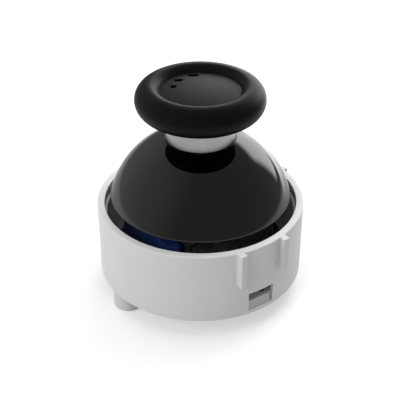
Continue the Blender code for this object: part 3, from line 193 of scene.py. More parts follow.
# Sensor housings; the one on -X is the one on -Y turned by a quarter
SENSOR_INNER = 8.2 * MM
SENSOR_OUTER = 10.2 * MM
SENSOR_HALF_WIDTH = 7.2 * MM
SENSOR_SEAT = 2.7 * MM
SENSOR_SHOULDER = 9.78 * MM
SENSOR_TOP_RADIUS = 4.2 * MM
SENSOR_CORNER = 1.2 * MM
SENSOR_RECESS_RADIUS = 3.4 * MM
SENSOR_FACE_WALL = 0.7 * MM
SENSOR_CROWN_STEPS = 9
SENSOR_SOFTENING = 0.12 * MM
SENSOR_EDGE_SEGMENTS = 3
SENSOR_EDGE_ANGLE = 30.0
SENSOR_SMOOTH_ANGLE = 25.0

# Return spring under the stick, with closed turns at its ends
SPRING_RADIUS = 3.55 * MM
SPRING_WIRE = 0.2 * MM
SPRING_TURNS = 4
SPRING_END_TURNS = 0.75
SPRING_END_PITCH = 0.45 * MM
SPRING_SIDES = 12

# Share of the turn away from face on, and the specular level there: reflections fade at the outline
LIMB_LEVELS = ((0.36, 0.5), (0.5, 0.38), (0.56, 0.28), (0.64, 0.15), (0.74, 0.07), (0.86, 0.035),
               (1.0, 0.02))
RUBBER_LEVELS = ((0.4, 0.5), (0.55, 0.4), (0.7, 0.28), (0.85, 0.16), (1.0, 0.08))
FACING_BLEND = 0.5

# Noise stays mostly between the low and high values; its scales are in cells per metre
NOISE_DETAIL = 3.0
NOISE_LOW = 0.3
NOISE_HIGH = 0.7
COLOUR_CELLS = 350.0
ROUGHNESS_CELLS = 1050.0
ROUND = (1.0, 1.0, 1.0)

# What a material has when nothing else is said; a grain layer is (scale, depth in metres, stretch)
PLAIN_IOR = 1.45
PLAIN_SPREAD = 0.03
PLAIN_DRIFT = 0.05
FINE_GRAIN = (9000.0, 1.5e-6, ROUND)

# White floor under the module. Its white pool is narrower than it is deep, lies a little behind the
# module as the camera sees it, and fades from POOL to EDGE
FLOOR_SIZE = 6.0
FLOOR_COLOUR = 0.55
FLOOR_ROUGHNESS = 0.9
FLOOR_LIFT = 0.45
FLOOR_POOL = 0.11
FLOOR_EDGE = 0.22
FLOOR_POOL_BACK = 0.025
FLOOR_POOL_WIDTH = 0.65

# Surroundings, a little brighter at the left of the camera's view
WORLD_BASE = 0.36
WORLD_LEFT = 0.34
WORLD_LEFT_AZIMUTH = -100.0
WORLD_LEFT_ELEVATION = 15.0
WORLD_LEFT_START = 0.2

# Matt lamps, all of one size and distance: name, azimuth, elevation, level
LAMP_DISTANCE = 0.6
LAMP_SIZE = 0.4
LAMPS = (
    ("fill_right", 150.0, 50.0, 4.6),
    ("key_right", 112.0, 14.0, 1.3),
    ("key_left", -50.0, 28.0, 3.4),
    ("key_back", -140.0, 30.0, 0.4),
    ("key_top", 0.0, 88.0, 1.9),
)

# Softbox at the right back, and the strip above the floor that carries it down the skirt; only
# reflections see them
SOFTBOX_AZIMUTH = 155.5
SOFTBOX_ELEVATION = 8.0
SOFTBOX_DISTANCE = 0.45
SOFTBOX_WIDTH = 0.57
SOFTBOX_HEIGHT = 0.48
SOFTBOX_LEVEL = 4.3
STRIP_NEAR = 0.035
STRIP_FAR = 0.42
STRIP_WIDTH = 0.11
STRIP_LEVEL = 4.2
STRIP_LIFT = 0.5 * MM

# A lamp's own coordinates run from 0 to 1, and its light fades between these distances from the middle
LAMP_MIDDLE = 0.5
SOFT_EDGE_OUT = 0.5
SOFT_EDGE_IN = 0.3


def unit(angle):
    """Unit vector in the plane at an angle in degrees."""
    return Vector((math.cos(math.radians(angle)), math.sin(math.radians(angle))))


def arc(centre, radius, start, end, count):
    """Points of an arc in the profile plane, angles in degrees."""
    return [tuple(Vector(centre) + radius * unit(start + (end - start) * index / count))
            for index in range(count + 1)]


def rounded(corners, closed=True):
    """Replace each corner (x, y, radius) by an arc; a corner without a radius stays sharp."""
    path = []
    total = len(corners)
    for index, corner in enumerate(corners):
        here = Vector(corner[:2])
        radius = corner[2] if len(corner) > 2 else 0.0
        at_end = not closed and index in (0, total - 1)
        if radius == 0.0 or at_end:
            path.append(tuple(here))
            continue
        before = (Vector(corners[index - 1][:2]) - here).normalized()
        after = (Vector(corners[(index + 1) % total][:2]) - here).normalized()
        half = before.angle(after) / 2
        middle = (before + after).normalized()
        centre = here + middle * radius / math.sin(half)
        first = here + before * radius / math.tan(half) - centre
        last = here + after * radius / math.tan(half) - centre
        sweep = first.angle_signed(last)
        for step in range(CORNER_STEPS + 1):
            turn = Matrix.Rotation(-sweep * step / CORNER_STEPS, 2)
            path.append(tuple(centre + turn @ first))
    return path


def new_object(name, bm):
    """Link a bmesh as an object with outward normals."""
    bmesh.ops.recalc_face_normals(bm, faces=bm.faces)
    mesh = bpy.data.meshes.new(name)
    bm.to_mesh(mesh)
    bm.free()
    obj = bpy.data.objects.new(name, mesh)
    bpy.context.scene.collection.objects.link(obj)
    return obj


def lathe(name, path, steps=FINE_STEPS, closed=True, lift=0.0):
    """Turn a path of (radius, height) points about Z."""
    bm = bmesh.new()
    columns = []
    for radius, height in path:
        if radius < ON_AXIS:
            columns.append([bm.verts.new((0.0, 0.0, height + lift))] * steps)
            continue
        column = []
        for step in range(steps):
            angle = math.tau * step / steps
            x = radius * math.cos(angle)
            y = radius * math.sin(angle)
            column.append(bm.verts.new((x, y, height + lift)))
        columns.append(column)
    count = len(columns) if closed else len(columns) - 1
    for index in range(count):
        lower = columns[index]
        upper = columns[(index + 1) % len(columns)]
        for step in range(steps):
            after = (step + 1) % steps
            corners = [lower[step], lower[after], upper[after], upper[step]]
            face = list(dict.fromkeys(corners))
            if len(face) > 2:
                bm.faces.new(face)
    return new_object(name, bm)


def prism(name, outline, low, high, axis="Z"):
    """Extrude a closed outline; it lies in XY, or in XZ for a prism along Y."""
    bm = bmesh.new()
    rings = []
    for level in (low, high):
        if axis == "Z":
            rings.append([bm.verts.new((x, y, level)) for x, y in outline])
        else:
            rings.append([bm.verts.new((x, level, z)) for x, z in outline])
    bm.faces.new(rings[0])
    bm.faces.new(rings[1])
    for index in range(len(outline)):
        after = (index + 1) % len(outline)
        bm.faces.new((rings[0][index], rings[0][after], rings[1][after], rings[1][index]))
    return new_object(name, bm)


def block(name, low, high):
    """Plain tool box between two corners, used only in booleans."""
    bm = bmesh.new()
    low = Vector(low)
    high = Vector(high)
    matrix = Matrix.Translation((low + high) / 2) @ Matrix.Diagonal((*(high - low), 1.0))
    bmesh.ops.create_cube(bm, size=1.0, matrix=matrix)
    return new_object(name, bm)


def bake(obj):
    """Replace an object's mesh by the evaluated one and drop its modifiers."""
    bpy.context.view_layer.update()
    depsgraph = bpy.context.evaluated_depsgraph_get()
    mesh = bpy.data.meshes.new_from_object(obj.evaluated_get(depsgraph))
    obj.modifiers.clear()
    obj.data = mesh
    return obj


def boolean(target, operation, *tools):
    """Join, cut or intersect the target with tools, which are then removed."""
    for tool in tools:
        modifier = target.modifiers.new(operation.title(), 'BOOLEAN')
        modifier.operation = operation
        modifier.solver = 'EXACT'
        modifier.object = tool
        bake(target)
        bpy.data.objects.remove(tool, do_unlink=True)
    return target


def soften(obj, width=EDGE_SOFTENING, segments=EDGE_SEGMENTS, angle=EDGE_ANGLE):
    """Round the sharp edges a little."""
    modifier = obj.modifiers.new("Soften", 'BEVEL')
    modifier.limit_method = 'ANGLE'
    modifier.angle_limit = math.radians(angle)
    modifier.width = width
    modifier.segments = segments
    modifier.use_clamp_overlap = True
    return bake(obj)


def smooth(obj, angle=SMOOTH_ANGLE):
    """Shade smooth up to sharp edges, with normals weighted towards the large faces."""
    obj.data.shade_smooth()
    obj.data.set_sharp_from_angle(angle=math.radians(angle))
    modifier = obj.modifiers.new("Normals", 'WEIGHTED_NORMAL')
    modifier.mode = 'FACE_AREA'
    modifier.weight = FACE_WEIGHT
    modifier.keep_sharp = True
    return bake(obj)


def place(obj, material, body, slot, *nodes):
    """Give a piece its material, the body it rides on and the CAD nodes it stands for."""
    obj.data.materials.clear()
    obj.data.materials.append(material)
    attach(obj, body)
    if nodes:
        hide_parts(*nodes)
    return obj


def new_material(name, colour, roughness, metallic=0.0, ior=PLAIN_IOR):
    """Principled material with plain values on the shader's own sockets."""
    material = bpy.data.materials.new(name)
    material.use_nodes = True
    shader = material.node_tree.nodes["Principled BSDF"]
    shader.inputs["Base Color"].default_value = (*colour, 1.0)
    shader.inputs["Roughness"].default_value = roughness
    shader.inputs["Metallic"].default_value = metallic
    shader.inputs["IOR"].default_value = ior
    material.diffuse_color = (*colour, 1.0)
    return material


def noise(material, scale, stretch=ROUND):
    """Noise in object space; scale is in cells per metre."""
    nodes = material.node_tree.nodes
    links = material.node_tree.links
    coordinate = nodes.new("ShaderNodeTexCoord")
    mapping = nodes.new("ShaderNodeMapping")
    mapping.inputs["Scale"].default_value = stretch
    texture = nodes.new("ShaderNodeTexNoise")
    texture.inputs["Scale"].default_value = scale
    texture.inputs["Detail"].default_value = NOISE_DETAIL
    links.new(coordinate.outputs["Object"], mapping.inputs["Vector"])
    links.new(mapping.outputs["Vector"], texture.inputs["Vector"])
    return texture.outputs["Fac"]


def map_range(tree, value, source, target=(0.0, 1.0), kind='SMOOTHSTEP'):
    """Map a value from one range onto another."""
    node = tree.nodes.new("ShaderNodeMapRange")
    node.interpolation_type = kind
    node.inputs["From Min"].default_value = source[0]
    node.inputs["From Max"].default_value = source[1]
    node.inputs["To Min"].default_value = target[0]
    node.inputs["To Max"].default_value = target[1]
    tree.links.new(value, node.inputs["Value"])
    return node.outputs["Result"]


def math_node(tree, operation, first, second=0.0):
    """Math node; each input is a socket to link or a plain number."""
    node = tree.nodes.new("ShaderNodeMath")
    node.operation = operation
    for socket, value in zip(node.inputs, (first, second)):
        if isinstance(value, bpy.types.NodeSocket):
            tree.links.new(value, socket)
        else:
            socket.default_value = value
    return node.outputs[0]


def vector_node(tree, operation, vector):
    """Vector math node with its first input linked."""
    node = tree.nodes.new("ShaderNodeVectorMath")
    node.operation = operation
    tree.links.new(vector, node.inputs[0])
    return node


def grain(material, layers):
    """Bump from layers of noise."""
    nodes = material.node_tree.nodes
    links = material.node_tree.links
    previous = None
    for scale, depth, stretch in layers:
        bump = nodes.new("ShaderNodeBump")
        bump.inputs["Distance"].default_value = depth
        bump.inputs["Strength"].default_value = 1.0
        links.new(noise(material, scale, stretch), bump.inputs["Height"])
        if previous:
            links.new(previous, bump.inputs["Normal"])
        previous = bump.outputs["Normal"]
    links.new(previous, nodes["Principled BSDF"].inputs["Normal"])


def mottle(material, colour, spread):
    """Let the base colour drift a little from place to place."""
    nodes = material.node_tree.nodes
    ramp = nodes.new("ShaderNodeValToRGB")
    ramp.color_ramp.elements[0].position = NOISE_LOW
    ramp.color_ramp.elements[1].position = NOISE_HIGH
    ramp.color_ramp.elements[0].color = (*[part * (1 - spread) for part in colour], 1.0)
    ramp.color_ramp.elements[1].color = (*[part * (1 + spread) for part in colour], 1.0)
    material.node_tree.links.new(noise(material, COLOUR_CELLS), ramp.inputs["Fac"])
    material.node_tree.links.new(ramp.outputs["Color"], nodes["Principled BSDF"].inputs["Base Color"])


def finish_of(name, colour, roughness, metallic=0.0, ior=PLAIN_IOR, spread=PLAIN_SPREAD,
              drift=PLAIN_DRIFT, layers=(FINE_GRAIN,)):
    """Material with a grain; its colour varies by a share, spread, and its roughness by drift."""
    material = new_material(name, colour, roughness, metallic, ior)
    mottle(material, colour, spread)
    tree = material.node_tree
    rough = map_range(tree, noise(material, ROUGHNESS_CELLS), (NOISE_LOW, NOISE_HIGH),
                      (roughness - drift, roughness + drift), 'LINEAR')
    tree.links.new(rough, tree.nodes["Principled BSDF"].inputs["Roughness"])
    grain(material, layers)
    return material


def calm_limb(material, levels):
    """Weaken the reflection towards the outline; levels are (share turned away, specular level)."""
    nodes = material.node_tree.nodes
    links = material.node_tree.links
    weight = nodes.new("ShaderNodeLayerWeight")
    weight.inputs["Blend"].default_value = FACING_BLEND
    ramp = nodes.new("ShaderNodeValToRGB")
    elements = ramp.color_ramp.elements
    elements[0].position = levels[0][0]
    elements[0].color = (*[levels[0][1]] * 3, 1.0)
    elements[1].position = levels[-1][0]
    elements[1].color = (*[levels[-1][1]] * 3, 1.0)
    for position, level in levels[1:-1]:
        elements.new(position).color = (*[level] * 3, 1.0)
    links.new(weight.outputs["Facing"], ramp.inputs["Fac"])
    links.new(ramp.outputs["Color"], nodes["Principled BSDF"].inputs["Specular IOR Level"])


MATERIALS = {
    "housing_grey": finish_of("housing_grey", (0.60, 0.60, 0.605), 0.5, ior=1.42, spread=0.012,
                              layers=((9000.0, 1.2e-6, ROUND), (500.0, 4.0e-6, ROUND))),
    # base_grey also colours the housing's sill block, where its darker grey is painted shade for the window
    # recess
    "base_grey": finish_of("base_grey", (0.42, 0.42, 0.425), 0.52, spread=0.015),
    # The sleeve's grey is much lighter than its dark moulding: painted light that brightens it down in the
    # gap; the ledge, the same moulding, keeps a darker grey
    "liner_dark": finish_of("liner_dark", (0.42, 0.42, 0.425), 0.4),
    "ledge_dark": finish_of("ledge_dark", (0.16, 0.16, 0.163), 0.45),
    "gloss_black": finish_of("gloss_black", (0.0005, 0.0005, 0.0005), 0.04, ior=1.47, spread=0.1,
                             drift=0.01, layers=((260.0, 1.0e-6, ROUND),)),
    "satin_metal": finish_of("satin_metal", (0.31, 0.31, 0.31), 0.3, metallic=1.0, spread=0.02,
                             drift=0.02, layers=((300.0, 0.4e-6, (1.0, 1.0, 30.0)),)),
    "cap_rubber": finish_of("cap_rubber", (0.0028, 0.0028, 0.0029), 0.42, ior=1.178, spread=0.05,
                            drift=0.02, layers=((11000.0, 2.5e-6, ROUND), (1500.0, 0.5e-6, ROUND))),
    "black_moulding": finish_of("black_moulding", (0.03, 0.03, 0.031), 0.3, spread=0.05),
    "navy_moulding": finish_of("navy_moulding", (0.012, 0.04, 0.17), 0.3, drift=0.02),
    "white_moulding": finish_of("white_moulding", (0.70, 0.70, 0.68), 0.4, spread=0.02),
    "frame_steel": finish_of("frame_steel", (0.5, 0.5, 0.51), 0.3, metallic=1.0,
                             layers=((900.0, 2.0e-6, (1.0, 1.0, 14.0)),)),
    "steel": finish_of("steel", (0.5, 0.5, 0.51), 0.28, metallic=1.0,
                       layers=((900.0, 1.5e-6, (1.0, 1.0, 20.0)),)),
    "spring_steel": finish_of("spring_steel", (0.45, 0.45, 0.47), 0.3, metallic=1.0),
    "board_green": finish_of("board_green", (0.008, 0.045, 0.022), 0.35, spread=0.1,
                             layers=((2500.0, 3.0e-6, ROUND),)),
    "connector_beige": finish_of("connector_beige", (0.24, 0.22, 0.19), 0.45, spread=0.04),
    "gold_pin": finish_of("gold_pin", (0.8, 0.55, 0.2), 0.25, metallic=1.0),
    "tin": finish_of("tin", (0.6, 0.6, 0.58), 0.35, metallic=1.0, layers=((4000.0, 3.0e-6, ROUND),)),
    "ceramic": finish_of("ceramic", (0.3, 0.18, 0.09), 0.4, spread=0.08),
}
calm_limb(MATERIALS["gloss_black"], LIMB_LEVELS)
calm_limb(MATERIALS["cap_rubber"], RUBBER_LEVELS)


def rib_outline(centre, thickness, root, reach, flare):
    """Plan of a rib that points to -Y, with flared roots; centre is its X."""
    half = thickness / 2
    inside = -root + RIB_SINK
    points = [(centre - half - flare, inside)]
    points += arc((centre - half - flare, -root - flare), flare, 90, 0, RIB_ROOT_STEPS)
    points += [(centre - half, -reach), (centre + half, -reach)]
    points += arc((centre + half + flare, -root - flare), flare, 180, 90, RIB_ROOT_STEPS)
    points.append((centre + half + flare, inside))
    return points


def build_housing():
    """Grey cup with ribs, pegs, lugs and cable window, and the sill block in that window, whose darker grey
    is painted shade.
    """
    corners = [
        (RIM_INNER_RADIUS, HOUSING_HEIGHT, RIM_INNER_ROUND),
        (HOUSING_RADIUS, HOUSING_HEIGHT, RIM_EDGE_ROUND),
        (HOUSING_RADIUS, 0.0, FOOT_EDGE_ROUND),
        (BORE_RADIUS, 0.0, RIM_INNER_ROUND),
        (BORE_RADIUS, HOUSING_HEIGHT - RIM_DEPTH - (BORE_RADIUS - RIM_INNER_RADIUS)),
        (RIM_INNER_RADIUS, HOUSING_HEIGHT - RIM_DEPTH, RIM_INNER_ROUND),
    ]
    housing = lathe("housing_cup", rounded(corners))
    rib_low = HOUSING_HEIGHT - RIB_HEIGHT
    rib_high = HOUSING_HEIGHT - OFF_PLANE
    for side in (-1, 1):
        centre = side * RIB_SPACING / 2
        root = math.sqrt(HOUSING_RADIUS ** 2 - (abs(centre) + RIB_THICKNESS / 2) ** 2)
        outline = rib_outline(centre, RIB_THICKNESS, root, RIB_REACH, RIB_ROOT_ROUND)
        boolean(housing, 'UNION', prism("rib", outline, rib_low, rib_high))
    outline = rib_outline(-SIDE_RIB_OFFSET, RIB_THICKNESS, HOUSING_RADIUS - SIDE_RIB_SINK, RIB_REACH,
                          SIDE_RIB_SINK)
    boolean(housing, 'UNION', prism("side_rib", [(-y, -x) for x, y in outline], rib_low, rib_high))

    middle = (HOUSING_RADIUS + BORE_RADIUS) / 2
    half = LUG_WIDTH / 2
    for side in (-1, 1):
        bow = [(middle * math.cos(angle), middle * math.sin(angle))
               for angle in [math.asin(half / middle) * (1 - 2 * index / LUG_BOW_STEPS)
                             for index in range(LUG_BOW_STEPS + 1)]]
        outline = [(side * LUG_INNER_RADIUS, half)] + [(side * x, y) for x, y in bow]
        outline.append((side * LUG_INNER_RADIUS, -half))
        boolean(housing, 'UNION', prism("lug", outline, OFF_PLANE, LUG_THICKNESS))
        corners = [
            (0.0, PEG_TOP),
            (PEG_RADIUS, PEG_TOP),
            (PEG_RADIUS, PEG_TIP + PEG_CHAMFER, PEG_ROUND),
            (PEG_RADIUS - PEG_CHAMFER, PEG_TIP, PEG_ROUND),
            (0.0, PEG_TIP),
        ]
        peg = lathe("peg", rounded(corners, closed=False), MEDIUM_STEPS, closed=False)
        peg.location.x = side * PEG_CENTRE
        boolean(housing, 'UNION', peg)

    half = WINDOW_WIDTH / 2
    window_top = WINDOW_SILL + WINDOW_HEIGHT
    corners = [
        (-half, WINDOW_SILL, WINDOW_ROUND),
        (half, WINDOW_SILL, WINDOW_ROUND),
        (half, window_top, WINDOW_ROUND),
        (-half, window_top, WINDOW_ROUND),
    ]
    outside = -HOUSING_RADIUS - CUT_MARGIN
    inside = -BORE_RADIUS + WINDOW_PAST_BORE
    boolean(housing, 'DIFFERENCE', prism("window", rounded(corners), outside, inside, axis="Y"))
    foot = block("foot", (-half, -middle, OFF_PLANE), (half, SILL_BACK, WINDOW_SILL - WALL_WELD))
    boolean(housing, 'UNION', foot)
    soften(housing)
    smooth(housing)

    step = half - SILL_STEP_WIDTH
    step_front = SILL_FRONT + SILL_STEP_INSET
    notch = step - SILL_NOTCH_WIDTH
    back = SILL_BACK - OFF_PLANE
    notch_front = back - SILL_NOTCH_DEPTH
    end = half + WALL_WELD
    outline = [(-end, back), (-end, SILL_FRONT), (step, SILL_FRONT), (step, step_front), (end, step_front),
               (end, back), (step, back), (step, notch_front), (notch, notch_front), (notch, back)]
    # The sill is part of the housing moulding; it gets the darker base grey as painted shade for its place
    # in the window recess
    sill = soften(prism("housing_sill", outline, SILL_BOTTOM, SILL_TOP))
    smooth(sill)
    place(sill, MATERIALS["base_grey"], "root", "base_grey", "housing")
    return place(housing, MATERIALS["housing_grey"], "root", "housing_grey", "housing")


def build_liner():
    """Sleeve of dark moulding inside the cup with its ledge, both notched for the connector; the sleeve is
    given a lighter grey as painted light.
    """
    corners = [
        (LINER_INNER_RADIUS, LINER_TOP, LINER_EDGE_ROUND),
        (LINER_OUTER_RADIUS, LINER_TOP, LINER_EDGE_ROUND),
        (LINER_OUTER_RADIUS, LINER_BOTTOM),
        (LINER_INNER_RADIUS, LINER_BOTTOM),
    ]
    liner = lathe("liner_sleeve", rounded(corners))
    weld = LINER_INNER_RADIUS + WALL_WELD
    corners = [
        (weld, LEDGE_BOTTOM),
        (LEDGE_RADIUS, LEDGE_BOTTOM),
        (LEDGE_RADIUS, LEDGE_TOP, LINER_EDGE_ROUND),
        (weld, LEDGE_TOP),
    ]
    ledge = lathe("liner_ledge", rounded(corners))
    half = LINER_NOTCH_HALF
    for sleeve in (liner, ledge):
        notch = block("notch", (-half, -HOUSING_RADIUS, 0.0), (half, 0.0, LINER_NOTCH_TOP))
        boolean(sleeve, 'DIFFERENCE', notch)
        smooth(sleeve)
    place(ledge, MATERIALS["ledge_dark"], "root", "liner_dark", "inner_liner")
    return place(liner, MATERIALS["liner_dark"], "root", "liner_dark", "inner_liner")


def build_sensor(name, material, slot, node, turn):
    """Sensor housing on -Y, turned by an angle: faceted crown, cut corners, recess for the rotor."""
    half = SENSOR_HALF_WIDTH
    reach = math.degrees(math.asin((SENSOR_SHOULDER - PIVOT.z) / SENSOR_TOP_RADIUS))
    crown_arc = arc((0.0, PIVOT.z), SENSOR_TOP_RADIUS, reach, 180.0 - reach, SENSOR_CROWN_STEPS)
    outline = [(-half, SENSOR_SEAT), (half, SENSOR_SEAT), (half, SENSOR_SHOULDER)] + crown_arc
    outline.append((-half, SENSOR_SHOULDER))
    body = prism(name, outline, -SENSOR_OUTER, -SENSOR_INNER, axis="Y")
    size = SENSOR_CORNER * math.sqrt(2.0) / 2
    for side in (-1, 1):
        corner = block("corner", (-size, -size, 0.0), (size, size, 2 * SENSOR_OUTER))
        corner.matrix_world = (Matrix.Translation((side * half, -SENSOR_OUTER, 0.0))
                               @ Matrix.Rotation(math.radians(45.0), 4, 'Z'))
        boolean(body, 'DIFFERENCE', corner)
    deep = 2 * SENSOR_OUTER
    path = [(0.0, 0.0), (SENSOR_RECESS_RADIUS, 0.0), (SENSOR_RECESS_RADIUS, deep), (0.0, deep)]
    recess = lathe("recess", path, MEDIUM_STEPS, closed=False)
    recess.matrix_world = (Matrix.Translation((0.0, -SENSOR_OUTER + SENSOR_FACE_WALL, PIVOT.z))
                           @ Matrix.Rotation(math.radians(-90.0), 4, 'X'))
    boolean(body, 'DIFFERENCE', recess)
    soften(body, SENSOR_SOFTENING, SENSOR_EDGE_SEGMENTS, SENSOR_EDGE_ANGLE)
    body.data.transform(Matrix.Rotation(math.radians(turn), 4, 'Z'))
    smooth(body, SENSOR_SMOOTH_ANGLE)
    return place(body, material, "root", slot, node)


def build_dome():
    """Glossy spherical skirt with its collar and hub."""
    collar_angle = math.degrees(math.acos(COLLAR_RADIUS / DOME_RADIUS))
    roof = COLLAR_TOP - DOME_ROOF
    roof_angle = math.degrees(math.asin(roof / DOME_INNER_RADIUS))
    lip_across = math.cos(math.radians(DOME_LIP_ANGLE))
    lip_rise = math.sin(math.radians(DOME_LIP_ANGLE))
    corners = [(CORE_BORE, COLLAR_TOP), (COLLAR_RADIUS, COLLAR_TOP)]
    corners += arc((0, 0), DOME_RADIUS, collar_angle, DOME_LIP_ANGLE + DOME_OUTER_START, DOME_OUTER_STEPS)
    corners += [(radius * lip_across, radius * lip_rise, DOME_LIP_ROUND)
                for radius in (DOME_RADIUS, DOME_INNER_RADIUS)]
    corners += arc((0, 0), DOME_INNER_RADIUS, DOME_LIP_ANGLE + DOME_INNER_START, roof_angle,
                   DOME_INNER_STEPS)
    corners += [(HUB_RADIUS, roof), (HUB_RADIUS, roof - HUB_LENGTH), (HUB_BORE, roof - HUB_LENGTH),
                (HUB_BORE, roof), (CORE_BORE, roof + CORE_BORE_STEP)]
    dome = lathe("skirt_dome", rounded(corners), SKIRT_STEPS, lift=PIVOT.z)
    smooth(dome)
    return place(dome, MATERIALS["gloss_black"], "stick", "gloss_black", "dome_skirt")


def build_ring():
    """Satin metal ring between the collar and the cap."""
    corners = [
        (RING_INNER_RADIUS, RING_TOP),
        (RING_RADIUS, RING_TOP, RING_TOP_ROUND),
        (RING_RADIUS, RING_BOTTOM + RING_BEVEL, RING_FOOT_ROUND),
        (RING_RADIUS - RING_BEVEL, RING_BOTTOM, RING_FOOT_ROUND),
        (RING_INNER_RADIUS, RING_BOTTOM),
    ]
    ring = lathe("ring_trim", rounded(corners), SKIRT_STEPS, lift=PIVOT.z)
    smooth(ring, RING_SMOOTH_ANGLE)
    return place(ring, MATERIALS["satin_metal"], "stick", "satin_metal", "trim_ring")


def build_spring():
    """Coil with closed end turns."""
    low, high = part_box("return_spring")
    bottom = low[2] + SPRING_WIRE
    body = high[2] - low[2] - 2 * SPRING_WIRE - 2 * SPRING_END_TURNS * SPRING_END_PITCH
    turns = SPRING_TURNS + 2 * SPRING_END_TURNS
    total = round(turns * SMALL_STEPS)
    bm = bmesh.new()
    rings = []
    for index in range(total + 1):
        turn = index / SMALL_STEPS
        active = min(max(turn - SPRING_END_TURNS, 0.0), SPRING_TURNS)
        height = bottom + (turn - active) * SPRING_END_PITCH + active / SPRING_TURNS * body
        outward = Vector((*unit(360.0 * turn), 0.0))
        ring = []
        for side in range(SPRING_SIDES):
            across, rise = SPRING_WIRE * unit(360.0 * side / SPRING_SIDES)
            point = (SPRING_RADIUS + across) * outward
            ring.append(bm.verts.new(point + Vector((0.0, 0.0, height + rise))))
        rings.append(ring)
    for first, second in zip(rings, rings[1:]):
        for side in range(SPRING_SIDES):
            after = (side + 1) % SPRING_SIDES
            bm.faces.new((first[side], first[after], second[after], second[side]))
    bm.faces.new(rings[0])
    bm.faces.new(rings[-1])
    spring = new_object("spring_coil", bm)
    smooth(spring)
    place(spring, MATERIALS["spring_steel"], "root", "spring_steel", "return_spring")
    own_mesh(spring)
    return spring


def crown(share):
    """Height of the cap's disc above the pivot at a share of its radius."""
    return CAP_TUBE_HEIGHT + CAP_TUBE_RADIUS - CAP_DISH_DEPTH + CAP_DISC_CROWN * (1 - share ** 2)


def build_cap():
    """Rubber thumb cap: round rim, shallow crowned disc, three recessed dashes."""
    crease = math.asin((CAP_TUBE_RADIUS - CAP_DISH_DEPTH) / CAP_TUBE_RADIUS)
    reach = (CAP_TUBE_CENTRE - CAP_DISC_RADIUS) / math.cos(crease)
    steps = CAP_DISC_STEPS
    path = [(CAP_DISC_RADIUS * index / steps, crown(index / steps)) for index in range(steps)]
    for index in range(steps):
        angle = crease + (math.pi / 2 - crease) * index / steps
        height = CAP_TUBE_HEIGHT + CAP_TUBE_RADIUS * math.sin(angle)
        path.append((CAP_TUBE_CENTRE - reach * math.cos(angle), height))
    path += arc((CAP_TUBE_CENTRE, CAP_TUBE_HEIGHT), CAP_TUBE_RADIUS, 90, -90, CAP_RIM_STEPS)
    path.append((CAP_POCKET_RADIUS, CAP_TUBE_HEIGHT - CAP_TUBE_RADIUS))
    path += [(CAP_POCKET_RADIUS, CAP_POCKET_CEILING), (0.0, CAP_POCKET_CEILING)]
    cap = lathe("cap_thumb", path, SKIRT_STEPS, closed=False, lift=PIVOT.z)
    heading = math.radians(DASH_HEADING)
    centre = (0.0, -DASH_BOW)
    outer = DASH_BOW + DASH_WIDTH / 2
    inner = DASH_BOW - DASH_WIDTH / 2
    for length, (share, bearing) in zip(DASH_LENGTHS, DASH_PLACES):
        sweep = math.degrees(length / 2 / DASH_BOW)
        outline = arc(centre, outer, 90.0 + sweep, 90.0 - sweep, DASH_BOW_STEPS)
        outline += arc(centre, inner, 90.0 - sweep, 90.0 + sweep, DASH_BOW_STEPS)
        level = PIVOT.z + crown(share)
        dash = prism("dash", outline, level - DASH_DEPTH, level + CUT_MARGIN)
        angle = math.radians(bearing) + heading
        spot = (CAP_DISC_RADIUS * share * math.cos(angle), CAP_DISC_RADIUS * share * math.sin(angle), 0.0)
        dash.matrix_world = Matrix.Translation(spot) @ Matrix.Rotation(heading, 4, 'Z')
        boolean(cap, 'DIFFERENCE', dash)
    smooth(cap, CAP_SMOOTH_ANGLE)
    return place(cap, MATERIALS["cap_rubber"], "stick", "cap_rubber", "thumb_cap")


def dress_nodes():
    """Give every CAD node that stays its procedural material."""
    slots = {row["node"]: row["material_slot"] for row in frame["record"]["subparts"]}
    for name, obj in frame["nodes"].items():
        for holder in obj.material_slots:
            holder.material = MATERIALS[slots[name]]


def direction_to(azimuth, elevation):
    """Unit vector; azimuth is to the right of the camera as seen from the module."""
    heading = math.radians(CAMERA_AZIMUTH + azimuth)
    rise = math.radians(elevation)
    return Vector((math.sin(heading) * math.cos(rise), -math.cos(heading) * math.cos(rise), math.sin(rise)))


def make_camera():
    """Camera at the photograph's viewing angle."""
    back = direction_to(0.0, CAMERA_ELEVATION)
    data = bpy.data.cameras.new("camera")
    data.lens = CAMERA_LENS
    data.sensor_width = CAMERA_SENSOR
    data.shift_x = CAMERA_SHIFT_X
    data.shift_y = CAMERA_SHIFT_Y
    data.clip_start = CAMERA_NEAR
    data.clip_end = CAMERA_FAR
    camera = bpy.data.objects.new("camera", data)
    camera.location = CAMERA_TARGET + CAMERA_DISTANCE * back
    camera.rotation_mode = 'QUATERNION'
    camera.rotation_quaternion = (-back).to_track_quat('-Z', 'Y')
    bpy.context.scene.collection.objects.link(camera)
    bpy.context.scene.camera = camera


def side_glow(tree, direction):
    """Brightness of the surroundings in a direction, a little higher at the left."""
    side = vector_node(tree, 'DOT_PRODUCT', direction)
    side.inputs[1].default_value = direction_to(WORLD_LEFT_AZIMUTH, WORLD_LEFT_ELEVATION)
    return map_range(tree, side.outputs["Value"], (WORLD_LEFT_START, 1.0),
                     (WORLD_BASE, WORLD_BASE + WORLD_LEFT))


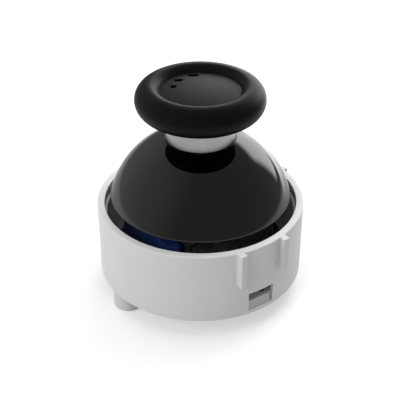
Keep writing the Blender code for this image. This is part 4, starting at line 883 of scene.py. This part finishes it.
def make_floor():
    """Plain white floor under the pegs; away from the camera's view it fades into the surroundings."""
    bm = bmesh.new()
    bmesh.ops.create_grid(bm, x_segments=1, y_segments=1, size=FLOOR_SIZE,
                          matrix=Matrix.Translation((0.0, 0.0, PEG_TIP)))
    floor = new_object("floor", bm)
    material = new_material("floor_white", (FLOOR_COLOUR, FLOOR_COLOUR, FLOOR_COLOUR), FLOOR_ROUGHNESS)
    tree = material.node_tree
    shader = tree.nodes["Principled BSDF"]
    shader.inputs["Specular IOR Level"].default_value = 0.0
    coordinate = tree.nodes.new("ShaderNodeTexCoord").outputs["Object"]
    pool = tree.nodes.new("ShaderNodeMapping")
    pool.vector_type = 'TEXTURE'
    pool.inputs["Location"].default_value = FLOOR_POOL_BACK * direction_to(180.0, 0.0)
    pool.inputs["Rotation"].default_value = (0.0, 0.0, math.radians(CAMERA_AZIMUTH))
    pool.inputs["Scale"].default_value = (FLOOR_POOL_WIDTH, 1.0, 1.0)
    tree.links.new(coordinate, pool.inputs["Vector"])
    distance = vector_node(tree, 'LENGTH', pool.outputs["Vector"]).outputs["Value"]
    direction = vector_node(tree, 'NORMALIZE', coordinate).outputs["Vector"]
    away = map_range(tree, distance, (FLOOR_POOL, FLOOR_EDGE))
    tone = tree.nodes.new("ShaderNodeMix")
    tone.data_type = 'RGBA'
    tone.inputs["A"].default_value = (FLOOR_COLOUR, FLOOR_COLOUR, FLOOR_COLOUR, 1.0)
    tone.inputs["B"].default_value = (0.0, 0.0, 0.0, 1.0)
    tree.links.new(away, tone.inputs["Factor"])
    tree.links.new(tone.outputs["Result"], shader.inputs["Base Color"])
    path = tree.nodes.new("ShaderNodeLightPath")
    seen = math_node(tree, 'MAXIMUM', path.outputs["Is Camera Ray"], path.outputs["Is Glossy Ray"])
    seen = math_node(tree, 'MAXIMUM', seen, path.outputs["Is Transmission Ray"])
    near = math_node(tree, 'SUBTRACT', 1.0, away)
    lift = math_node(tree, 'MULTIPLY', seen, math_node(tree, 'MULTIPLY', near, FLOOR_LIFT))
    horizon = math_node(tree, 'MULTIPLY', away, side_glow(tree, direction))
    shader.inputs["Emission Color"].default_value = (1.0, 1.0, 1.0, 1.0)
    tree.links.new(math_node(tree, 'ADD', lift, horizon), shader.inputs["Emission Strength"])
    floor.data.materials.append(material)


def make_world():
    """Even pale surroundings, a little lighter at the left."""
    world = bpy.data.worlds.new("studio")
    bpy.context.scene.world = world
    world.use_nodes = True
    tree = world.node_tree
    background = tree.nodes["Background"]
    background.inputs["Color"].default_value = (1.0, 1.0, 1.0, 1.0)
    direction = tree.nodes.new("ShaderNodeTexCoord").outputs["Generated"]
    tree.links.new(side_glow(tree, direction), background.inputs["Strength"])


def fade_edges(data):
    """Let a lamp's light fall off softly towards its edges."""
    data.use_nodes = True
    tree = data.node_tree
    geometry = tree.nodes.new("ShaderNodeNewGeometry")
    split = tree.nodes.new("ShaderNodeSeparateXYZ")
    tree.links.new(geometry.outputs["Parametric"], split.inputs["Vector"])
    fades = []
    for axis in ("X", "Y"):
        offset = math_node(tree, 'SUBTRACT', split.outputs[axis], LAMP_MIDDLE)
        size = math_node(tree, 'ABSOLUTE', offset)
        fades.append(map_range(tree, size, (SOFT_EDGE_OUT, SOFT_EDGE_IN)))
    tree.links.new(math_node(tree, 'MULTIPLY', *fades), tree.nodes["Emission"].inputs["Strength"])


def make_lamp(name, azimuth, elevation, level, distance=LAMP_DISTANCE, width=LAMP_SIZE, height=LAMP_SIZE,
              glossy=False):
    """Area lamp; azimuth is to the right of the camera, level is its brightness where white is 1.

    A glossy lamp has soft edges and is seen in reflections only; the others light matt surfaces only.
    """
    direction = direction_to(azimuth, elevation)
    data = bpy.data.lights.new(name, 'AREA')
    data.shape = 'RECTANGLE'
    data.size = width
    data.size_y = height
    data.energy = level * math.pi * width * height
    if glossy:
        fade_edges(data)
    lamp = bpy.data.objects.new(name, data)
    lamp.location = CAMERA_TARGET + distance * direction
    lamp.rotation_mode = 'QUATERNION'
    lamp.rotation_quaternion = (-direction).to_track_quat('-Z', 'Y')
    lamp.visible_camera = False
    lamp.visible_glossy = glossy
    lamp.visible_diffuse = not glossy
    bpy.context.scene.collection.objects.link(lamp)
    return lamp


def make_lamps():
    """Soft studio light, with a softbox at the right back that only reflections see."""
    make_lamp("softbox_right", SOFTBOX_AZIMUTH, SOFTBOX_ELEVATION, SOFTBOX_LEVEL, SOFTBOX_DISTANCE,
              SOFTBOX_WIDTH, SOFTBOX_HEIGHT, glossy=True)
    middle = (STRIP_NEAR + STRIP_FAR) / 2
    strip = make_lamp("strip_low", SOFTBOX_AZIMUTH, 0.0, STRIP_LEVEL, middle, STRIP_WIDTH,
                      STRIP_FAR - STRIP_NEAR, glossy=True)
    heading = direction_to(SOFTBOX_AZIMUTH, 0.0)
    up = Vector((0.0, 0.0, 1.0))
    strip.location = heading * middle
    strip.location.z = PEG_TIP + STRIP_LIFT
    strip.rotation_quaternion = Matrix((-up.cross(heading), -heading, -up)).transposed().to_quaternion()
    for name, azimuth, elevation, level in LAMPS:
        make_lamp(name, azimuth, elevation, level)


dress_nodes()
build_housing()
build_liner()
build_sensor("sensor_navy", MATERIALS["navy_moulding"], "navy_moulding", "sensor_y_body", -90.0)
build_sensor("sensor_black", MATERIALS["black_moulding"], "black_moulding", "sensor_x_body", 0.0)
build_dome()
build_ring()
build_cap()
build_spring()

make_camera()
make_floor()
make_world()
make_lamps()
bpy.context.scene.view_settings.view_transform = 'Standard'
